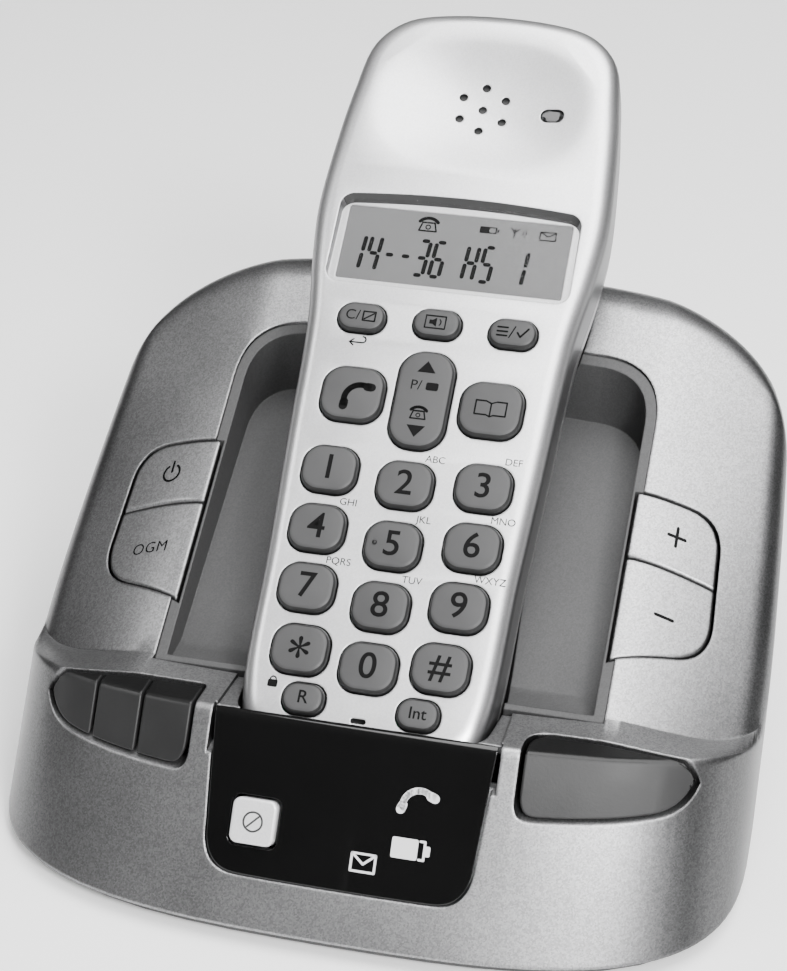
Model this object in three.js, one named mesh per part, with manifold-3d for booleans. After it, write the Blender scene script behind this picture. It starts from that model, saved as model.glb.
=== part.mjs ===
// Cordless telephone standing in its charging base.
// Millimetres, +X to the right as seen from the front, +Y to the back, +Z up.
import * as THREE from "three";
import { mergeVertices } from "three/addons/utils/BufferGeometryUtils.js";
import Module from "manifold-3d";

const wasm = await Module();
wasm.setup();

// ---------------------------------------------------------------- base sizes
const BASE_HALF_WIDTH = 65.5;
const BASE_FRONT = -53; // foot of the front face
const BASE_BACK = 72;
const SKIRT_HEIGHT = 3.2; // top of the tray's edge, where the cover starts
const RIDGE_Y = -31.6; // top of the sloping front face
const LEDGE_AT_ZERO = 21.2; // height that the ledge would have at y = 0
const LEDGE_SLOPE = -0.33;
const CREASE_Y = -18.6; // valley between the ledge and the arch
const ARCH_AT_ZERO = 38.7; // height of the arch's inner edge at y = 0
const ARCH_SLOPE = 0.54;
const ARCH_BACK_RADIUS = 12;
const ARCH_FALL = 11; // how far the arch falls from its inner edge to its side
const CORNER_FRONT = 40; // depth of the rounded front corners
const RIDGE_SHARE = 0.8; // share of the front corners' depth that the ridge takes
const CREASE_SHARE = 0.5;
const CORNER_BACK = 30;
const SIDE_TAPER = 0.05; // narrowing of the sides towards the back
const COVER_WALL = 2.4;
const GAP = 0.3; // clearance between fixed neighbours
const KEY_GAP = 0.45; // clearance round a moving key

// The recess that the handset leans in.
const RECESS_HALF_WIDTH = 39.5;
const RECESS_BACK = 47;
const RECESS_CORNER = 11;
const RECESS_FLOOR_BACK = -9; // where the floor turns up into the back wall
const RECESS_FLOOR_Z = 27;
const RECESS_WALL_SLOPE = 0.435;
const LINER_WALL = 2;

const PANEL_HALF_TOP = 24.6;
const PANEL_HALF_BOTTOM = 22.6;
const PANEL_BOTTOM = 10.2;
const PANEL_CORNER = 6;
const PANEL_THICK = 1.2;
const LIP_LOW = 25; // the cover's wall behind the panel ends here
const PAGE_KEY = { x: -14.6, z: 17.4, size: 7.6, corner: 1.4 };

const FRONT_KEYS = { inner: 28.4, outer: 56.4, bottom: 22.6, back: -24.6, corner: 9, small: 3 };
const FRONT_KEY_SPLITS = [37.4, 46.2];
const FRONT_KEY_DEPTH = 3.2;
const SIDE_KEYS = { inner: 38.4, outer: 54.3, low: -7.4, lowOuter: -1.5, split: 10, high: 21.4 };
const SIDE_KEY_CORNER = 5.5;
const SIDE_KEY_DEPTH = 3;

const FOOT_RADIUS = 5.5;
const FOOT_HEIGHT = 1;
const TRAY_THICK = 2.2 - GAP;
const TRAY_INSET = 1.6; // how far the tray stands back from the cover's foot
const BASE_SPEAKER_RADIUS = 16;
const BOARD_THICK = 1.6;
const SCREW = { x: 50, y: -14, head: 3, headHeight: 1, shank: 1.25, boss: 3.4, length: 11 };
const LINE_SOCKET = { x: -24, width: 13, height: 12, depth: 15 };
const POWER_SOCKET = { x: 24, width: 9.5, height: 11, depth: 13, bore: 2.9 };

// ------------------------------------------------------------- handset sizes
const LEAN = THREE.MathUtils.degToRad(36); // the face's angle above the floor
const FACE_HEIGHT = 52.4; // height of the face plane at y = 0
const HANDSET_BOTTOM = -41.5; // along the handset, from the face's origin
const HANDSET_TOP = 103.6;
const HANDSET_HALF_WIDTH = 27;
const HANDSET_DEPTH = 22;
const HANDSET_EDGE = 3.6; // rounding of the face's edge
const HANDSET_INNER_EDGE = 1.2;
const HANDSET_TUCK = 7; // how far the back shell draws in towards the back
const PARTING = -9.4; // where the two shells meet
const HANDSET_WALL = 2.2;
const CRADLE_CLEARANCE = 0.7;

const DIGIT_KEY = { width: 9.9, height: 8.7, corner: 3.3 };
const SOFT_KEY = { width: 8.6, height: 5.6, corner: 2.6 };
const CALL_KEY = { width: 11.2, height: 10.4, corner: 3.6 };
const ROCKER = { width: 10, height: 18.6, corner: 4.2, sink: 0.45 }; // sink: room to tilt
const SMALL_KEY = { width: 7.2, height: 5.4, corner: 2.4 };
const HANDSET_KEY_GAP = 0.3;
const KEY_PROUD = 1.3;
const KEY_FLANGE = 0.55;
const KEY_FLANGE_THICK = 0.9;
const SHELL_CLEARANCE = 0.25; // between the shell's inner face and a flange
const MAT_TOP = -4.7;
const MAT_THICK = 0.8;

const DISPLAY = { y: 53, width: 42, height: 15.6, corner: 2 };
const LENS_DROP = 0.7;
const LENS_THICK = 1;
const LAMP = { x: 13.2, y: 82.6, width: 4.6, height: 3, corner: 1.3 };
const DISH = { y: 83.2, halfWidth: 18.6, halfHeight: 13.9, depth: 1.5 };
const EARPIECE_Y = 83;
const EARPIECE_RADIUS = 9;
const SOUND_HOLE = { radius: 0.75, ring: 4.6, count: 6 };
const CELL = { radius: 5.2, length: 44.5, spacing: 11.4 };
const DOOR = { low: -20, high: 30, halfWidth: 14.6, corner: 3, thick: 1.6, thumbRoom: 3 };
const CONTACT = { x: 9, width: 4, low: -15.6, high: -12, length: 3.6, recess: 1.5 };
const SPRING = { width: 2.6, length: 9, thick: 2 };

// ------------------------------------------------------------------ helpers
const finish = (color, roughness, metalness = 0) =>
  new THREE.MeshStandardMaterial({ color, roughness, metalness });

const silver = () => finish(0xb9bbbe, 0.38, 0.6);
const lightSilver = () => finish(0xd6d7d9, 0.35, 0.5);
const darkGrey = () => finish(0x5b5d60, 0.5);
const keyGrey = () => finish(0x77797c, 0.55);
const blackGloss = () => finish(0x0b0b0c, 0.08);
const blackMatt = () => finish(0x1b1c1e, 0.7);
const boardGreen = () => finish(0x2f5d3a, 0.6);
const metal = () => finish(0xc9ccd0, 0.25, 1);

// A closed geometry as a solid that can be joined and cut.
function solid(geometry) {
  const plain = new THREE.BufferGeometry();
  const source = geometry.index ? geometry.toNonIndexed() : geometry;
  plain.setAttribute("position", source.getAttribute("position"));
  const merged = mergeVertices(plain, 1e-4);
  return new wasm.Manifold(
    new wasm.Mesh({
      numProp: 3,
      vertProperties: new Float32Array(merged.attributes.position.array),
      triVerts: new Uint32Array(merged.index.array),
    }),
  );
}

function geometryOf(manifold) {
  const { numProp, vertProperties, triVerts } = manifold.getMesh();
  const positions = new Float32Array((vertProperties.length / numProp) * 3);
  for (let i = 0; i < positions.length / 3; i++) {
    for (let k = 0; k < 3; k++) positions[i * 3 + k] = vertProperties[i * numProp + k];
  }
  const geometry = new THREE.BufferGeometry();
  geometry.setAttribute("position", new THREE.BufferAttribute(positions, 3));
  geometry.setIndex(new THREE.BufferAttribute(new Uint32Array(triVerts), 1));
  geometry.computeVertexNormals();
  return geometry;
}

function add(group, name, material, shape) {
  const geometry = shape.isBufferGeometry ? shape : geometryOf(shape);
  const mesh = new THREE.Mesh(geometry, material);
  mesh.name = name;
  group.add(mesh);
  return mesh;
}

function roundedRect(width, height, corner, cx = 0, cy = 0) {
  const shape = new THREE.Shape();
  const [x, y, r] = [width / 2, height / 2, corner];
  shape.absarc(cx + x - r, cy + y - r, r, 0, Math.PI / 2);
  shape.absarc(cx - x + r, cy + y - r, r, Math.PI / 2, Math.PI);
  shape.absarc(cx - x + r, cy - y + r, r, Math.PI, Math.PI * 1.5);
  shape.absarc(cx + x - r, cy - y + r, r, Math.PI * 1.5, Math.PI * 2);
  return shape;
}

// A plate with a flat outline in X and Y, from height low to height high.
function plate(shape, low, high, segments = 4) {
  const geometry = new THREE.ExtrudeGeometry(shape, {
    depth: high - low,
    bevelEnabled: false,
    curveSegments: segments,
  });
  return geometry.translate(0, 0, low);
}

// The same, with its outline in X and Z and its depth along Y.
const upright = (shape, low, high, segments = 4) =>
  plate(shape, -high, -low, segments).rotateX(Math.PI / 2);

// The same, with its outline in Y and Z and its depth along X.
function crosswise(points, halfWidth) {
  const shape = new THREE.Shape(points.map(([y, z]) => new THREE.Vector2(y, z)));
  return plate(shape, -halfWidth, halfWidth)
    .rotateX(Math.PI / 2)
    .rotateZ(Math.PI / 2);
}

const box = (x0, x1, y0, y1, z0, z1) =>
  new THREE.BoxGeometry(x1 - x0, y1 - y0, z1 - z0).translate(
    (x0 + x1) / 2,
    (y0 + y1) / 2,
    (z0 + z1) / 2,
  );

const cylinder = (radius, low, high, x = 0, y = 0, sides = 24) =>
  new THREE.CylinderGeometry(radius, radius, high - low, sides)
    .rotateX(Math.PI / 2)
    .translate(x, y, (low + high) / 2);

const lerp = THREE.MathUtils.lerp;
const clamp01 = (t) => Math.min(1, Math.max(0, t));
const ledgeZ = (y) => LEDGE_AT_ZERO + LEDGE_SLOPE * y;
const archZ = (y) => ARCH_AT_ZERO + ARCH_SLOPE * y;
const recessZ = (y) => RECESS_FLOOR_Z + RECESS_WALL_SLOPE * (y - RECESS_FLOOR_BACK);

// --------------------------------------------------------------- base: body
// The side profile, front foot to back foot: face, ledge, arch, rounded back.
function sideProfile() {
  const lean = Math.atan(ARCH_SLOPE);
  const reach = ARCH_BACK_RADIUS / Math.tan((Math.PI / 2 - lean) / 2);
  const startY = BASE_BACK - reach * Math.cos(lean);
  const shape = new THREE.Shape();
  shape.moveTo(BASE_FRONT, 0);
  shape.lineTo(BASE_FRONT, SKIRT_HEIGHT);
  shape.lineTo(RIDGE_Y - 0.9, ledgeZ(RIDGE_Y) - 1.3);
  shape.lineTo(RIDGE_Y, ledgeZ(RIDGE_Y) - 0.35);
  shape.lineTo(RIDGE_Y + 1.1, ledgeZ(RIDGE_Y + 1.1));
  shape.lineTo(CREASE_Y, archZ(CREASE_Y));
  const steps = 7;
  for (let i = 1; i < steps; i++) {
    const y = CREASE_Y + ((startY - CREASE_Y) * i) / steps;
    shape.lineTo(y, archZ(y));
  }
  const centreZ = archZ(BASE_BACK) - reach;
  shape.absarc(BASE_BACK - ARCH_BACK_RADIUS, centreZ, ARCH_BACK_RADIUS, Math.PI / 2 + lean, 0, true);
  shape.lineTo(BASE_BACK, 0);
  return shape;
}

const cornerRound = (u, power) => 1 - (1 - Math.min(1, u) ** power) ** (1 / power);

// Bends a point of the straight extruded profile into the base's rounded form.
function bend(p) {
  const x = Math.abs(p.x);
  const u = x / BASE_HALF_WIDTH;
  let frontShare = lerp(1, RIDGE_SHARE, clamp01((p.y - BASE_FRONT) / (RIDGE_Y - BASE_FRONT)));
  if (p.y > RIDGE_Y) {
    frontShare = lerp(RIDGE_SHARE, CREASE_SHARE, clamp01((p.y - RIDGE_Y) / (CREASE_Y - RIDGE_Y)));
  }
  if (p.y > CREASE_Y) frontShare = CREASE_SHARE * clamp01((12 - p.y) / (12 - CREASE_Y));
  const backShare = clamp01((p.y - 30) / (BASE_BACK - 30));
  const frontShift = (CORNER_FRONT * cornerRound(u, 3.5) + 1.5 * (x / 50) ** 2) * frontShare;
  const y = p.y + frontShift - CORNER_BACK * cornerRound(u, 3) * backShare;
  const outward = clamp01((x - RECESS_HALF_WIDTH) / (BASE_HALF_WIDTH - RECESS_HALF_WIDTH));
  const edge = clamp01((x - BASE_HALF_WIDTH + 4) / 4);
  const edgeFall = 3.5 * (1 - Math.sqrt(1 - edge * edge));
  let fall = (ARCH_FALL - 0.08 * y) * outward ** 1.38 + edgeFall - ARCH_SLOPE * (y - p.y);
  if (p.y < CREASE_Y - 1) fall = 1.5 * outward ** 4 - LEDGE_SLOPE * (y - p.y);
  const height = clamp01((p.z - SKIRT_HEIGHT) / 18);
  const taper = 1 - SIDE_TAPER * clamp01(y / 50) ** 1.5;
  return new THREE.Vector3(p.x * taper, y, p.z - fall * height);
}

function baseBody(steps = 24) {
  const geometry = new THREE.ExtrudeGeometry(sideProfile(), {
    depth: 1,
    steps,
    bevelEnabled: false,
    curveSegments: 5,
  });
  const at = geometry.getAttribute("position");
  for (let i = 0; i < at.count; i++) {
    const along = Math.sin((at.getZ(i) - 0.5) * Math.PI) * BASE_HALF_WIDTH;
    const p = bend(new THREE.Vector3(along, at.getX(i), at.getY(i)));
    at.setXYZ(i, p.x, p.y, p.z);
  }
  return solid(geometry);
}

const body = baseBody();
const faceLean = Math.atan2(ledgeZ(RIDGE_Y) - SKIRT_HEIGHT, RIDGE_Y - BASE_FRONT);
const inward = (depth) => [0, depth * Math.sin(faceLean), -depth * Math.cos(faceLean)];

// What lies within depth of the base's outer surface, along the face's normal.
const skin = (cutter, depth) => body.intersect(cutter).subtract(body.translate(inward(depth)));

const bodyWidth = BASE_HALF_WIDTH * 2;
const bodyDepth = BASE_BACK - BASE_FRONT;
const bodyMid = (BASE_BACK + BASE_FRONT) / 2;

function hollow() {
  return body
    .translate([0, -bodyMid, -COVER_WALL])
    .scale([1 - (2 * COVER_WALL) / bodyWidth, 1 - (2 * COVER_WALL) / bodyDepth, 1])
    .translate([0, bodyMid, 0]);
}

// ------------------------------------------------------------ base: cutters
function recessOutline(inset) {
  const w = RECESS_HALF_WIDTH - inset;
  const back = RECESS_BACK - inset;
  const r = RECESS_CORNER - inset;
  const shape = new THREE.Shape();
  shape.moveTo(-w, CREASE_Y + inset);
  shape.lineTo(w, CREASE_Y + inset);
  shape.lineTo(w, back - r - 2);
  shape.quadraticCurveTo(w, back - 1, w - r - 2, back - 1);
  shape.quadraticCurveTo(0, back + 1, -w + r + 2, back - 1);
  shape.quadraticCurveTo(-w, back - 1, -w, back - r - 2);
  return shape;
}

function panelOutline(grow) {
  const shape = new THREE.Shape();
  const top = ledgeZ(RIDGE_Y) + 6;
  const bottom = PANEL_BOTTOM - grow;
  const wTop = PANEL_HALF_TOP + grow;
  const wLow = PANEL_HALF_BOTTOM + grow;
  const r = PANEL_CORNER;
  shape.moveTo(-wTop, top);
  shape.lineTo(-wLow, bottom + r);
  shape.quadraticCurveTo(-wLow, bottom, -wLow + r, bottom);
  shape.lineTo(wLow - r, bottom);
  shape.quadraticCurveTo(wLow, bottom, wLow, bottom + r);
  shape.lineTo(wTop, top);
  return shape;
}

// The front key openings, seen from the front; side is 1 right and -1 left.
function frontKeyCutter(side, grow) {
  const k = FRONT_KEYS;
  const [x0, x1] = [k.inner - grow, k.outer + grow];
  const [z0, z1] = [k.bottom - grow, 60];
  const shape = new THREE.Shape();
  shape.moveTo(x0, z1);
  shape.lineTo(x0, z0 + k.small);
  shape.quadraticCurveTo(x0, z0, x0 + k.small, z0);
  shape.lineTo(x1 - k.corner, z0);
  shape.quadraticCurveTo(x1, z0, x1, z0 + k.corner);
  shape.lineTo(x1, z1);
  const front = solid(upright(shape, BASE_FRONT - 5, 0)).intersect(
    solid(crosswise([[-70, -5], [k.back + grow, -5], [k.back + grow, 80], [-70, 80]], 80)),
  );
  return side > 0 ? front : front.mirror([1, 0, 0]);
}

// The side key openings, seen from above.
function sideKeyCutter(side, grow) {
  const k = SIDE_KEYS;
  const r = SIDE_KEY_CORNER;
  const shape = new THREE.Shape();
  shape.moveTo(k.inner - grow, k.low - grow);
  shape.lineTo(k.outer - r, k.lowOuter - grow - 2);
  shape.quadraticCurveTo(k.outer + grow, k.lowOuter - grow, k.outer + grow, k.lowOuter + r);
  shape.lineTo(k.outer - 0.6 + grow, k.high - r);
  shape.quadraticCurveTo(k.outer - 0.8 + grow, k.high + grow, k.outer - r - 1, k.high + grow);
  shape.lineTo(k.inner - grow, k.high + grow);
  const cutter = solid(plate(shape, SKIRT_HEIGHT, 90));
  return side > 0 ? cutter : cutter.mirror([1, 0, 0]);
}

// ------------------------------------------------------------ handset: body
// Half the face outline, bottom centre to top centre: half width, place along.
const HANDSET_OUTLINE = [
  [12, HANDSET_BOTTOM],
  [19.2, HANDSET_BOTTOM + 2.4],
  [21.3, HANDSET_BOTTOM + 9],
  [22.2, -8],
  [23.2, 13],
  [24.3, 37],
  [26.1, 50],
  [HANDSET_HALF_WIDTH, 60],
  [26.5, 72],
  [25.2, 85],
  [23, 96],
  [18, 101.2],
  [9, HANDSET_TOP - 0.2],
];

function handsetOutline(grow) {
  const middle = (HANDSET_TOP + HANDSET_BOTTOM) / 2;
  const wide = (HANDSET_HALF_WIDTH + grow) / HANDSET_HALF_WIDTH;
  const long = 1 + (2 * grow) / (HANDSET_TOP - HANDSET_BOTTOM);
  const half = HANDSET_OUTLINE.map(
    ([x, y]) => new THREE.Vector2(x * wide, middle + (y - middle) * long),
  );
  const other = half.map((p) => new THREE.Vector2(-p.x, p.y)).reverse();
  const curve = new THREE.CatmullRomCurve3(
    [...half, ...other].map((p) => new THREE.Vector3(p.x, p.y, 0)),
    true,
    "centripetal",
  );
  return new THREE.Shape(curve.getPoints(48).slice(0, -1).map((p) => new THREE.Vector2(p.x, p.y)));
}

// The handset's whole outer form, grown by a clearance or shrunk by a wall: the
// outline carried from back to face through levels that round its edges. The
// front half has a small rounded edge, and the back half draws in like a hull.
function handsetForm(grow) {
  const edge = grow < 0 ? HANDSET_INNER_EDGE : HANDSET_EDGE;
  const drop = HANDSET_DEPTH + PARTING + grow;
  const levels = [];
  for (const turn of [90, 66, 48, 30, 15, 0]) {
    const angle = THREE.MathUtils.degToRad(turn);
    levels.push([PARTING - drop * Math.sin(angle), HANDSET_TUCK * (1 - Math.cos(angle))]);
  }
  for (const turn of [0, 30, 60, 90]) {
    const angle = THREE.MathUtils.degToRad(turn);
    levels.push([grow - edge + edge * Math.sin(angle), edge * (1 - Math.cos(angle))]);
  }
  const geometry = new THREE.ExtrudeGeometry(handsetOutline(grow), {
    depth: 1,
    steps: levels.length - 1,
    bevelEnabled: false,
  });
  const middle = (HANDSET_TOP + HANDSET_BOTTOM) / 2;
  const halfLength = (HANDSET_TOP - HANDSET_BOTTOM) / 2;
  const at = geometry.getAttribute("position");
  for (let i = 0; i < at.count; i++) {
    const [height, inset] = levels[Math.round(at.getZ(i) * (levels.length - 1))];
    const x = at.getX(i) * (1 - inset / HANDSET_HALF_WIDTH);
    const y = middle + (at.getY(i) - middle) * (1 - inset / halfLength);
    at.setXYZ(i, x, y, height);
  }
  return solid(geometry);
}

const leaned = (manifold) =>
  manifold.rotate([THREE.MathUtils.radToDeg(LEAN), 0, 0]).translate([0, 0, FACE_HEIGHT]);

// ------------------------------------------------------------- base: pieces
const base = new THREE.Group();
const cradleSpace = leaned(handsetForm(CRADLE_CLEARANCE));
const recessPrism = (inset) => solid(plate(recessOutline(inset), SKIRT_HEIGHT, 90));

function baseCover() {
  const above = solid(box(-80, 80, -70, 90, SKIRT_HEIGHT, 90));
  let cover = body.intersect(above).subtract(hollow());
  // A block under the arch's back band carries the handset's saddle.
  const saddle = solid(
    crosswise(
      [
        [RECESS_BACK - 1, archZ(RECESS_BACK) - 9],
        [BASE_BACK - 4, archZ(RECESS_BACK) - 3],
        [BASE_BACK - 4, 80],
        [RECESS_BACK - 1, 80],
      ],
      HANDSET_HALF_WIDTH + 4,
    ),
  );
  cover = cover.add(body.intersect(saddle));
  cover = cover.subtract(recessPrism(0));
  cover = cover.subtract(skin(solid(upright(panelOutline(GAP), -70, -18)), PANEL_THICK + GAP));
  for (const side of [-1, 1]) {
    cover = cover.subtract(frontKeyCutter(side, KEY_GAP));
    cover = cover.subtract(sideKeyCutter(side, KEY_GAP));
  }
  cover = cover.subtract(solid(pageKeyBlock(KEY_GAP, 12)));
  cover = cover.subtract(cradleSpace);
  // Between the panel's upper edge and the handset there is no room for a wall.
  const lip = box(-PANEL_HALF_TOP, PANEL_HALF_TOP, BASE_FRONT, RIDGE_Y + 2.2, LIP_LOW, 60);
  cover = cover.subtract(solid(lip));
  for (const side of [-1, 1]) {
    const x = side * SCREW.x;
    const boss = solid(cylinder(SCREW.boss, SKIRT_HEIGHT, 60, x, SCREW.y)).intersect(body);
    const bore = cylinder(SCREW.shank + 0.05, 0, SCREW.length + 2, x, SCREW.y, 16);
    cover = cover.add(boss).subtract(solid(bore));
  }
  for (const s of [LINE_SOCKET, POWER_SOCKET]) {
    const z0 = SKIRT_HEIGHT + 1;
    const reach = box(s.x - s.width / 2 - GAP, s.x + s.width / 2 + GAP, 40, 90, z0, z0 + s.height + 2 * GAP);
    cover = cover.subtract(solid(reach));
  }
  return cover;
}

// The square page key's block, standing on the sloping face.
function pageKeyBlock(grow, depth) {
  const k = PAGE_KEY;
  const size = k.size + 2 * grow;
  const faceY = RIDGE_Y - (ledgeZ(RIDGE_Y) - k.z) / Math.tan(faceLean);
  return plate(roundedRect(size, size, k.corner), -depth, grow > 0 ? depth : 0.9)
    .rotateX(faceLean)
    .translate(k.x, faceY, k.z);
}

const screwAt = (side, radius, low, high) => cylinder(radius, low, high, side * SCREW.x, SCREW.y, 20);

function screwHole(side) {
  const seat = FOOT_HEIGHT + SCREW.headHeight + 0.05;
  const counterbore = solid(screwAt(side, SCREW.head + GAP, 0, seat));
  return counterbore.add(solid(screwAt(side, SCREW.shank + GAP, 0, 9)));
}

function screw(side) {
  const head = solid(screwAt(side, SCREW.head, FOOT_HEIGHT + 0.05, FOOT_HEIGHT + SCREW.headHeight));
  const shank = solid(screwAt(side, SCREW.shank, FOOT_HEIGHT + 0.5, FOOT_HEIGHT + SCREW.length));
  return head.add(shank);
}

function baseTray() {
  const slab = solid(box(-80, 80, -70, 90, FOOT_HEIGHT, FOOT_HEIGHT + TRAY_THICK));
  const share = (size) => 1 - (2 * TRAY_INSET) / size;
  return body
    .translate([0, -bodyMid, 0])
    .scale([share(bodyWidth), share(bodyDepth), 1])
    .translate([0, bodyMid, 0])
    .intersect(slab)
    .subtract(screwHole(-1))
    .subtract(screwHole(1));
}

function cradleLiner() {
  const front = CREASE_Y;
  const surface = (down) => [
    [front, ledgeZ(front) - down],
    [RECESS_FLOOR_BACK, RECESS_FLOOR_Z - down],
    [RECESS_BACK + 4, recessZ(RECESS_BACK + 4) - down],
  ];
  const under = solid(
    crosswise([...surface(LINER_WALL), [80, archZ(80) - 0.8], [front, archZ(front) - 0.8]], 60),
  );
  const bowl = recessPrism(GAP).intersect(under);
  const open = recessPrism(GAP + LINER_WALL).intersect(
    solid(crosswise([...surface(0), [RECESS_BACK + 4, 120], [front, 120]], 60)),
  );
  const wellFloor = [-60, FOOT_HEIGHT + TRAY_THICK + 0.4];
  const wellSide = [wellFloor, [RECESS_BACK - 3, 5], ...surface(0).reverse(), [-60, 28]];
  const well = leaned(handsetForm(CRADLE_CLEARANCE + LINER_WALL)).intersect(
    solid(crosswise(wellSide, 60)),
  );
  let liner = bowl.subtract(open).add(well.intersect(recessPrism(GAP).add(
    solid(box(-RECESS_HALF_WIDTH, RECESS_HALF_WIDTH, -60, CREASE_Y + 2, 3, 26)),
  )));
  liner = liner.intersect(body.translate(inward(COVER_WALL + 1.6))).add(
    bowl.subtract(open).intersect(solid(box(-80, 80, CREASE_Y + 1, 90, 0, 99))),
  );
  for (const side of [-1, 1]) {
    liner = liner.subtract(
      sideKeyCutter(side, KEY_GAP).intersect(body).subtract(body.translate([0, 0, -SIDE_KEY_DEPTH - 1.4])),
    );
  }
  for (const side of [-1, 1]) liner = liner.subtract(leaned(solid(springBlade(side, GAP))));
  return liner.subtract(cradleSpace);
}

// A charging contact of the base, which reaches through the liner to the pad.
function springBlade(side, grow) {
  const { width, length, thick } = SPRING;
  const tip = HANDSET_BOTTOM + CONTACT.recess - GAP;
  const mid = (CONTACT.low + CONTACT.high) / 2;
  const x = side * CONTACT.x;
  const half = width / 2 + grow;
  return box(x - half, x + half, tip - length, tip + grow, mid - thick / 2 - grow, mid + thick / 2 + grow);
}

function frontKey(side, from, to) {
  const slot = frontKeyCutter(side, 0);
  const low = side > 0 ? from : -to;
  const high = side > 0 ? to : -from;
  const slice = solid(box(low, high, -80, 20, 0, 60));
  return skin(slot.intersect(slice), FRONT_KEY_DEPTH).translate([0, 0.1, -0.2]);
}

function sideKey(side, from, to) {
  const slice = solid(box(-80, 80, from, to, 0, 90));
  const outer = body.intersect(sideKeyCutter(side, 0)).intersect(slice);
  return outer.subtract(body.translate([0, 0, -SIDE_KEY_DEPTH]));
}

function socket(s) {
  const z0 = SKIRT_HEIGHT + 1 + GAP;
  const shell = solid(
    box(s.x - s.width / 2, s.x + s.width / 2, BASE_BACK - 2.5 - s.depth, BASE_BACK - 1.4, z0, z0 + s.height),
  );
  const mid = z0 + s.height / 2;
  if (s.bore) {
    const bore = new THREE.CylinderGeometry(s.bore, s.bore, s.depth * 2, 20);
    const pin = new THREE.CylinderGeometry(0.8, 0.8, s.depth - 3, 12);
    const hole = solid(bore.translate(s.x, BASE_BACK, mid));
    return shell.subtract(hole).add(solid(pin.translate(s.x, BASE_BACK - 2.5 - s.depth / 2, mid)));
  }
  const w = s.width / 2 - 1.5;
  const [inside, outside] = [BASE_BACK - s.depth, BASE_BACK + 2];
  const mouth = box(s.x - w, s.x + w, inside, outside, z0 + 1.5, z0 + s.height - 2.5);
  const latch = box(s.x - 2, s.x + 2, inside, outside, z0 + s.height - 3, z0 + s.height - 1);
  return shell.subtract(solid(mouth)).subtract(solid(latch));
}

function buildBase() {
  add(base, "base_cover", silver(), baseCover());
  add(base, "base_tray", darkGrey(), baseTray());
  add(base, "cradle_liner", finish(0x85878a, 0.45, 0.4), cradleLiner());
  const pageGap = solid(pageKeyBlock(KEY_GAP, 12));
  const panel = skin(solid(upright(panelOutline(0), -70, RIDGE_Y + 1)), PANEL_THICK);
  add(base, "display_panel", blackGloss(), panel.subtract(pageGap).subtract(cradleSpace));
  add(base, "page_key", lightSilver(), pageKeyBlock(0, 4));

  const { inner, outer } = FRONT_KEYS;
  const cuts = [inner, ...FRONT_KEY_SPLITS, outer];
  const names = ["front_key_inner", "front_key_middle", "front_key_outer"];
  for (let i = 0; i < names.length; i++) {
    const from = cuts[i] + (i > 0 ? KEY_GAP / 2 : 0);
    const to = cuts[i + 1] - (i < 2 ? KEY_GAP / 2 : 0);
    add(base, names[i], blackMatt(), frontKey(-1, from, to));
  }
  add(base, "play_key", darkGrey(), frontKey(1, inner, outer));

  const { low, split, high } = SIDE_KEYS;
  const sideKeys = [
    ["power_key", -1, split + KEY_GAP / 2, high],
    ["greeting_key", -1, low - 1, split - KEY_GAP / 2],
    ["volume_up_key", 1, split + KEY_GAP / 2, high],
    ["volume_down_key", 1, low - 1, split - KEY_GAP / 2],
  ];
  for (const [name, side, from, to] of sideKeys) {
    add(base, name, silver(), sideKey(side, from, to));
  }

  for (const [name, x, y] of [
    ["foot_front_left", -44, -32],
    ["foot_front_right", 44, -32],
    ["foot_back_left", -46, 50],
    ["foot_back_right", 46, 50],
  ]) {
    add(base, name, blackMatt(), cylinder(FOOT_RADIUS, 0, FOOT_HEIGHT, x, y));
  }

  for (const [word, side] of [["left", -1], ["right", 1]]) {
    add(base, "charge_spring_" + word, metal(), leaned(solid(springBlade(side, 0))));
    add(base, "tray_screw_" + word, metal(), screw(side));
  }

  const floor = FOOT_HEIGHT + TRAY_THICK;
  const boardPlate = solid(plate(roundedRect(104, 46, 4, 0, 28), floor + 1.6, floor + 1.6 + BOARD_THICK));
  add(base, "base_board", boardGreen(), boardPlate);
  const boardTop = floor + 1.6 + BOARD_THICK + GAP;
  add(base, "base_speaker", blackMatt(), cylinder(BASE_SPEAKER_RADIUS, boardTop, boardTop + 7, -34, 28));
  add(base, "line_socket", blackMatt(), socket(LINE_SOCKET));
  add(base, "power_socket", blackMatt(), socket(POWER_SOCKET));
}

// ---------------------------------------------------------- handset: pieces
const handset = new THREE.Group();
handset.rotation.x = LEAN;
handset.position.z = FACE_HEIGHT;

const digitRows = [7.4, -3.6, -14.5, -25.5];
const digitColumns = [13.6, 13.6, 13.2, 12.1];
const middleDrop = [1.2, 1.5, 1.7, 1.6];
const digitNames = [
  ["key_1", "key_2", "key_3"],
  ["key_4", "key_5", "key_6"],
  ["key_7", "key_8", "key_9"],
  ["key_star", "key_0", "key_hash"],
];

const KEYS = [
  { name: "key_soft_left", x: -13.7, y: 37, ...SOFT_KEY },
  { name: "key_soft_middle", x: 0, y: 37.3, ...SOFT_KEY },
  { name: "key_soft_right", x: 13.7, y: 37, ...SOFT_KEY },
  { name: "key_call", x: -12.4, y: 22, ...CALL_KEY },
  { name: "key_rocker", x: 0, y: 22.4, ...ROCKER },
  { name: "key_phonebook", x: 12.4, y: 22, ...CALL_KEY },
  ...digitNames.flatMap((row, r) =>
    row.map((name, c) => ({
      name,
      x: (c - 1) * digitColumns[r],
      y: digitRows[r] - (c === 1 ? middleDrop[r] : 0),
      ...DIGIT_KEY,
    })),
  ),
  { name: "key_recall", x: -9.8, y: -33.9, ...SMALL_KEY },
  { name: "key_intercom", x: 9.8, y: -33.9, ...SMALL_KEY },
];

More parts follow.
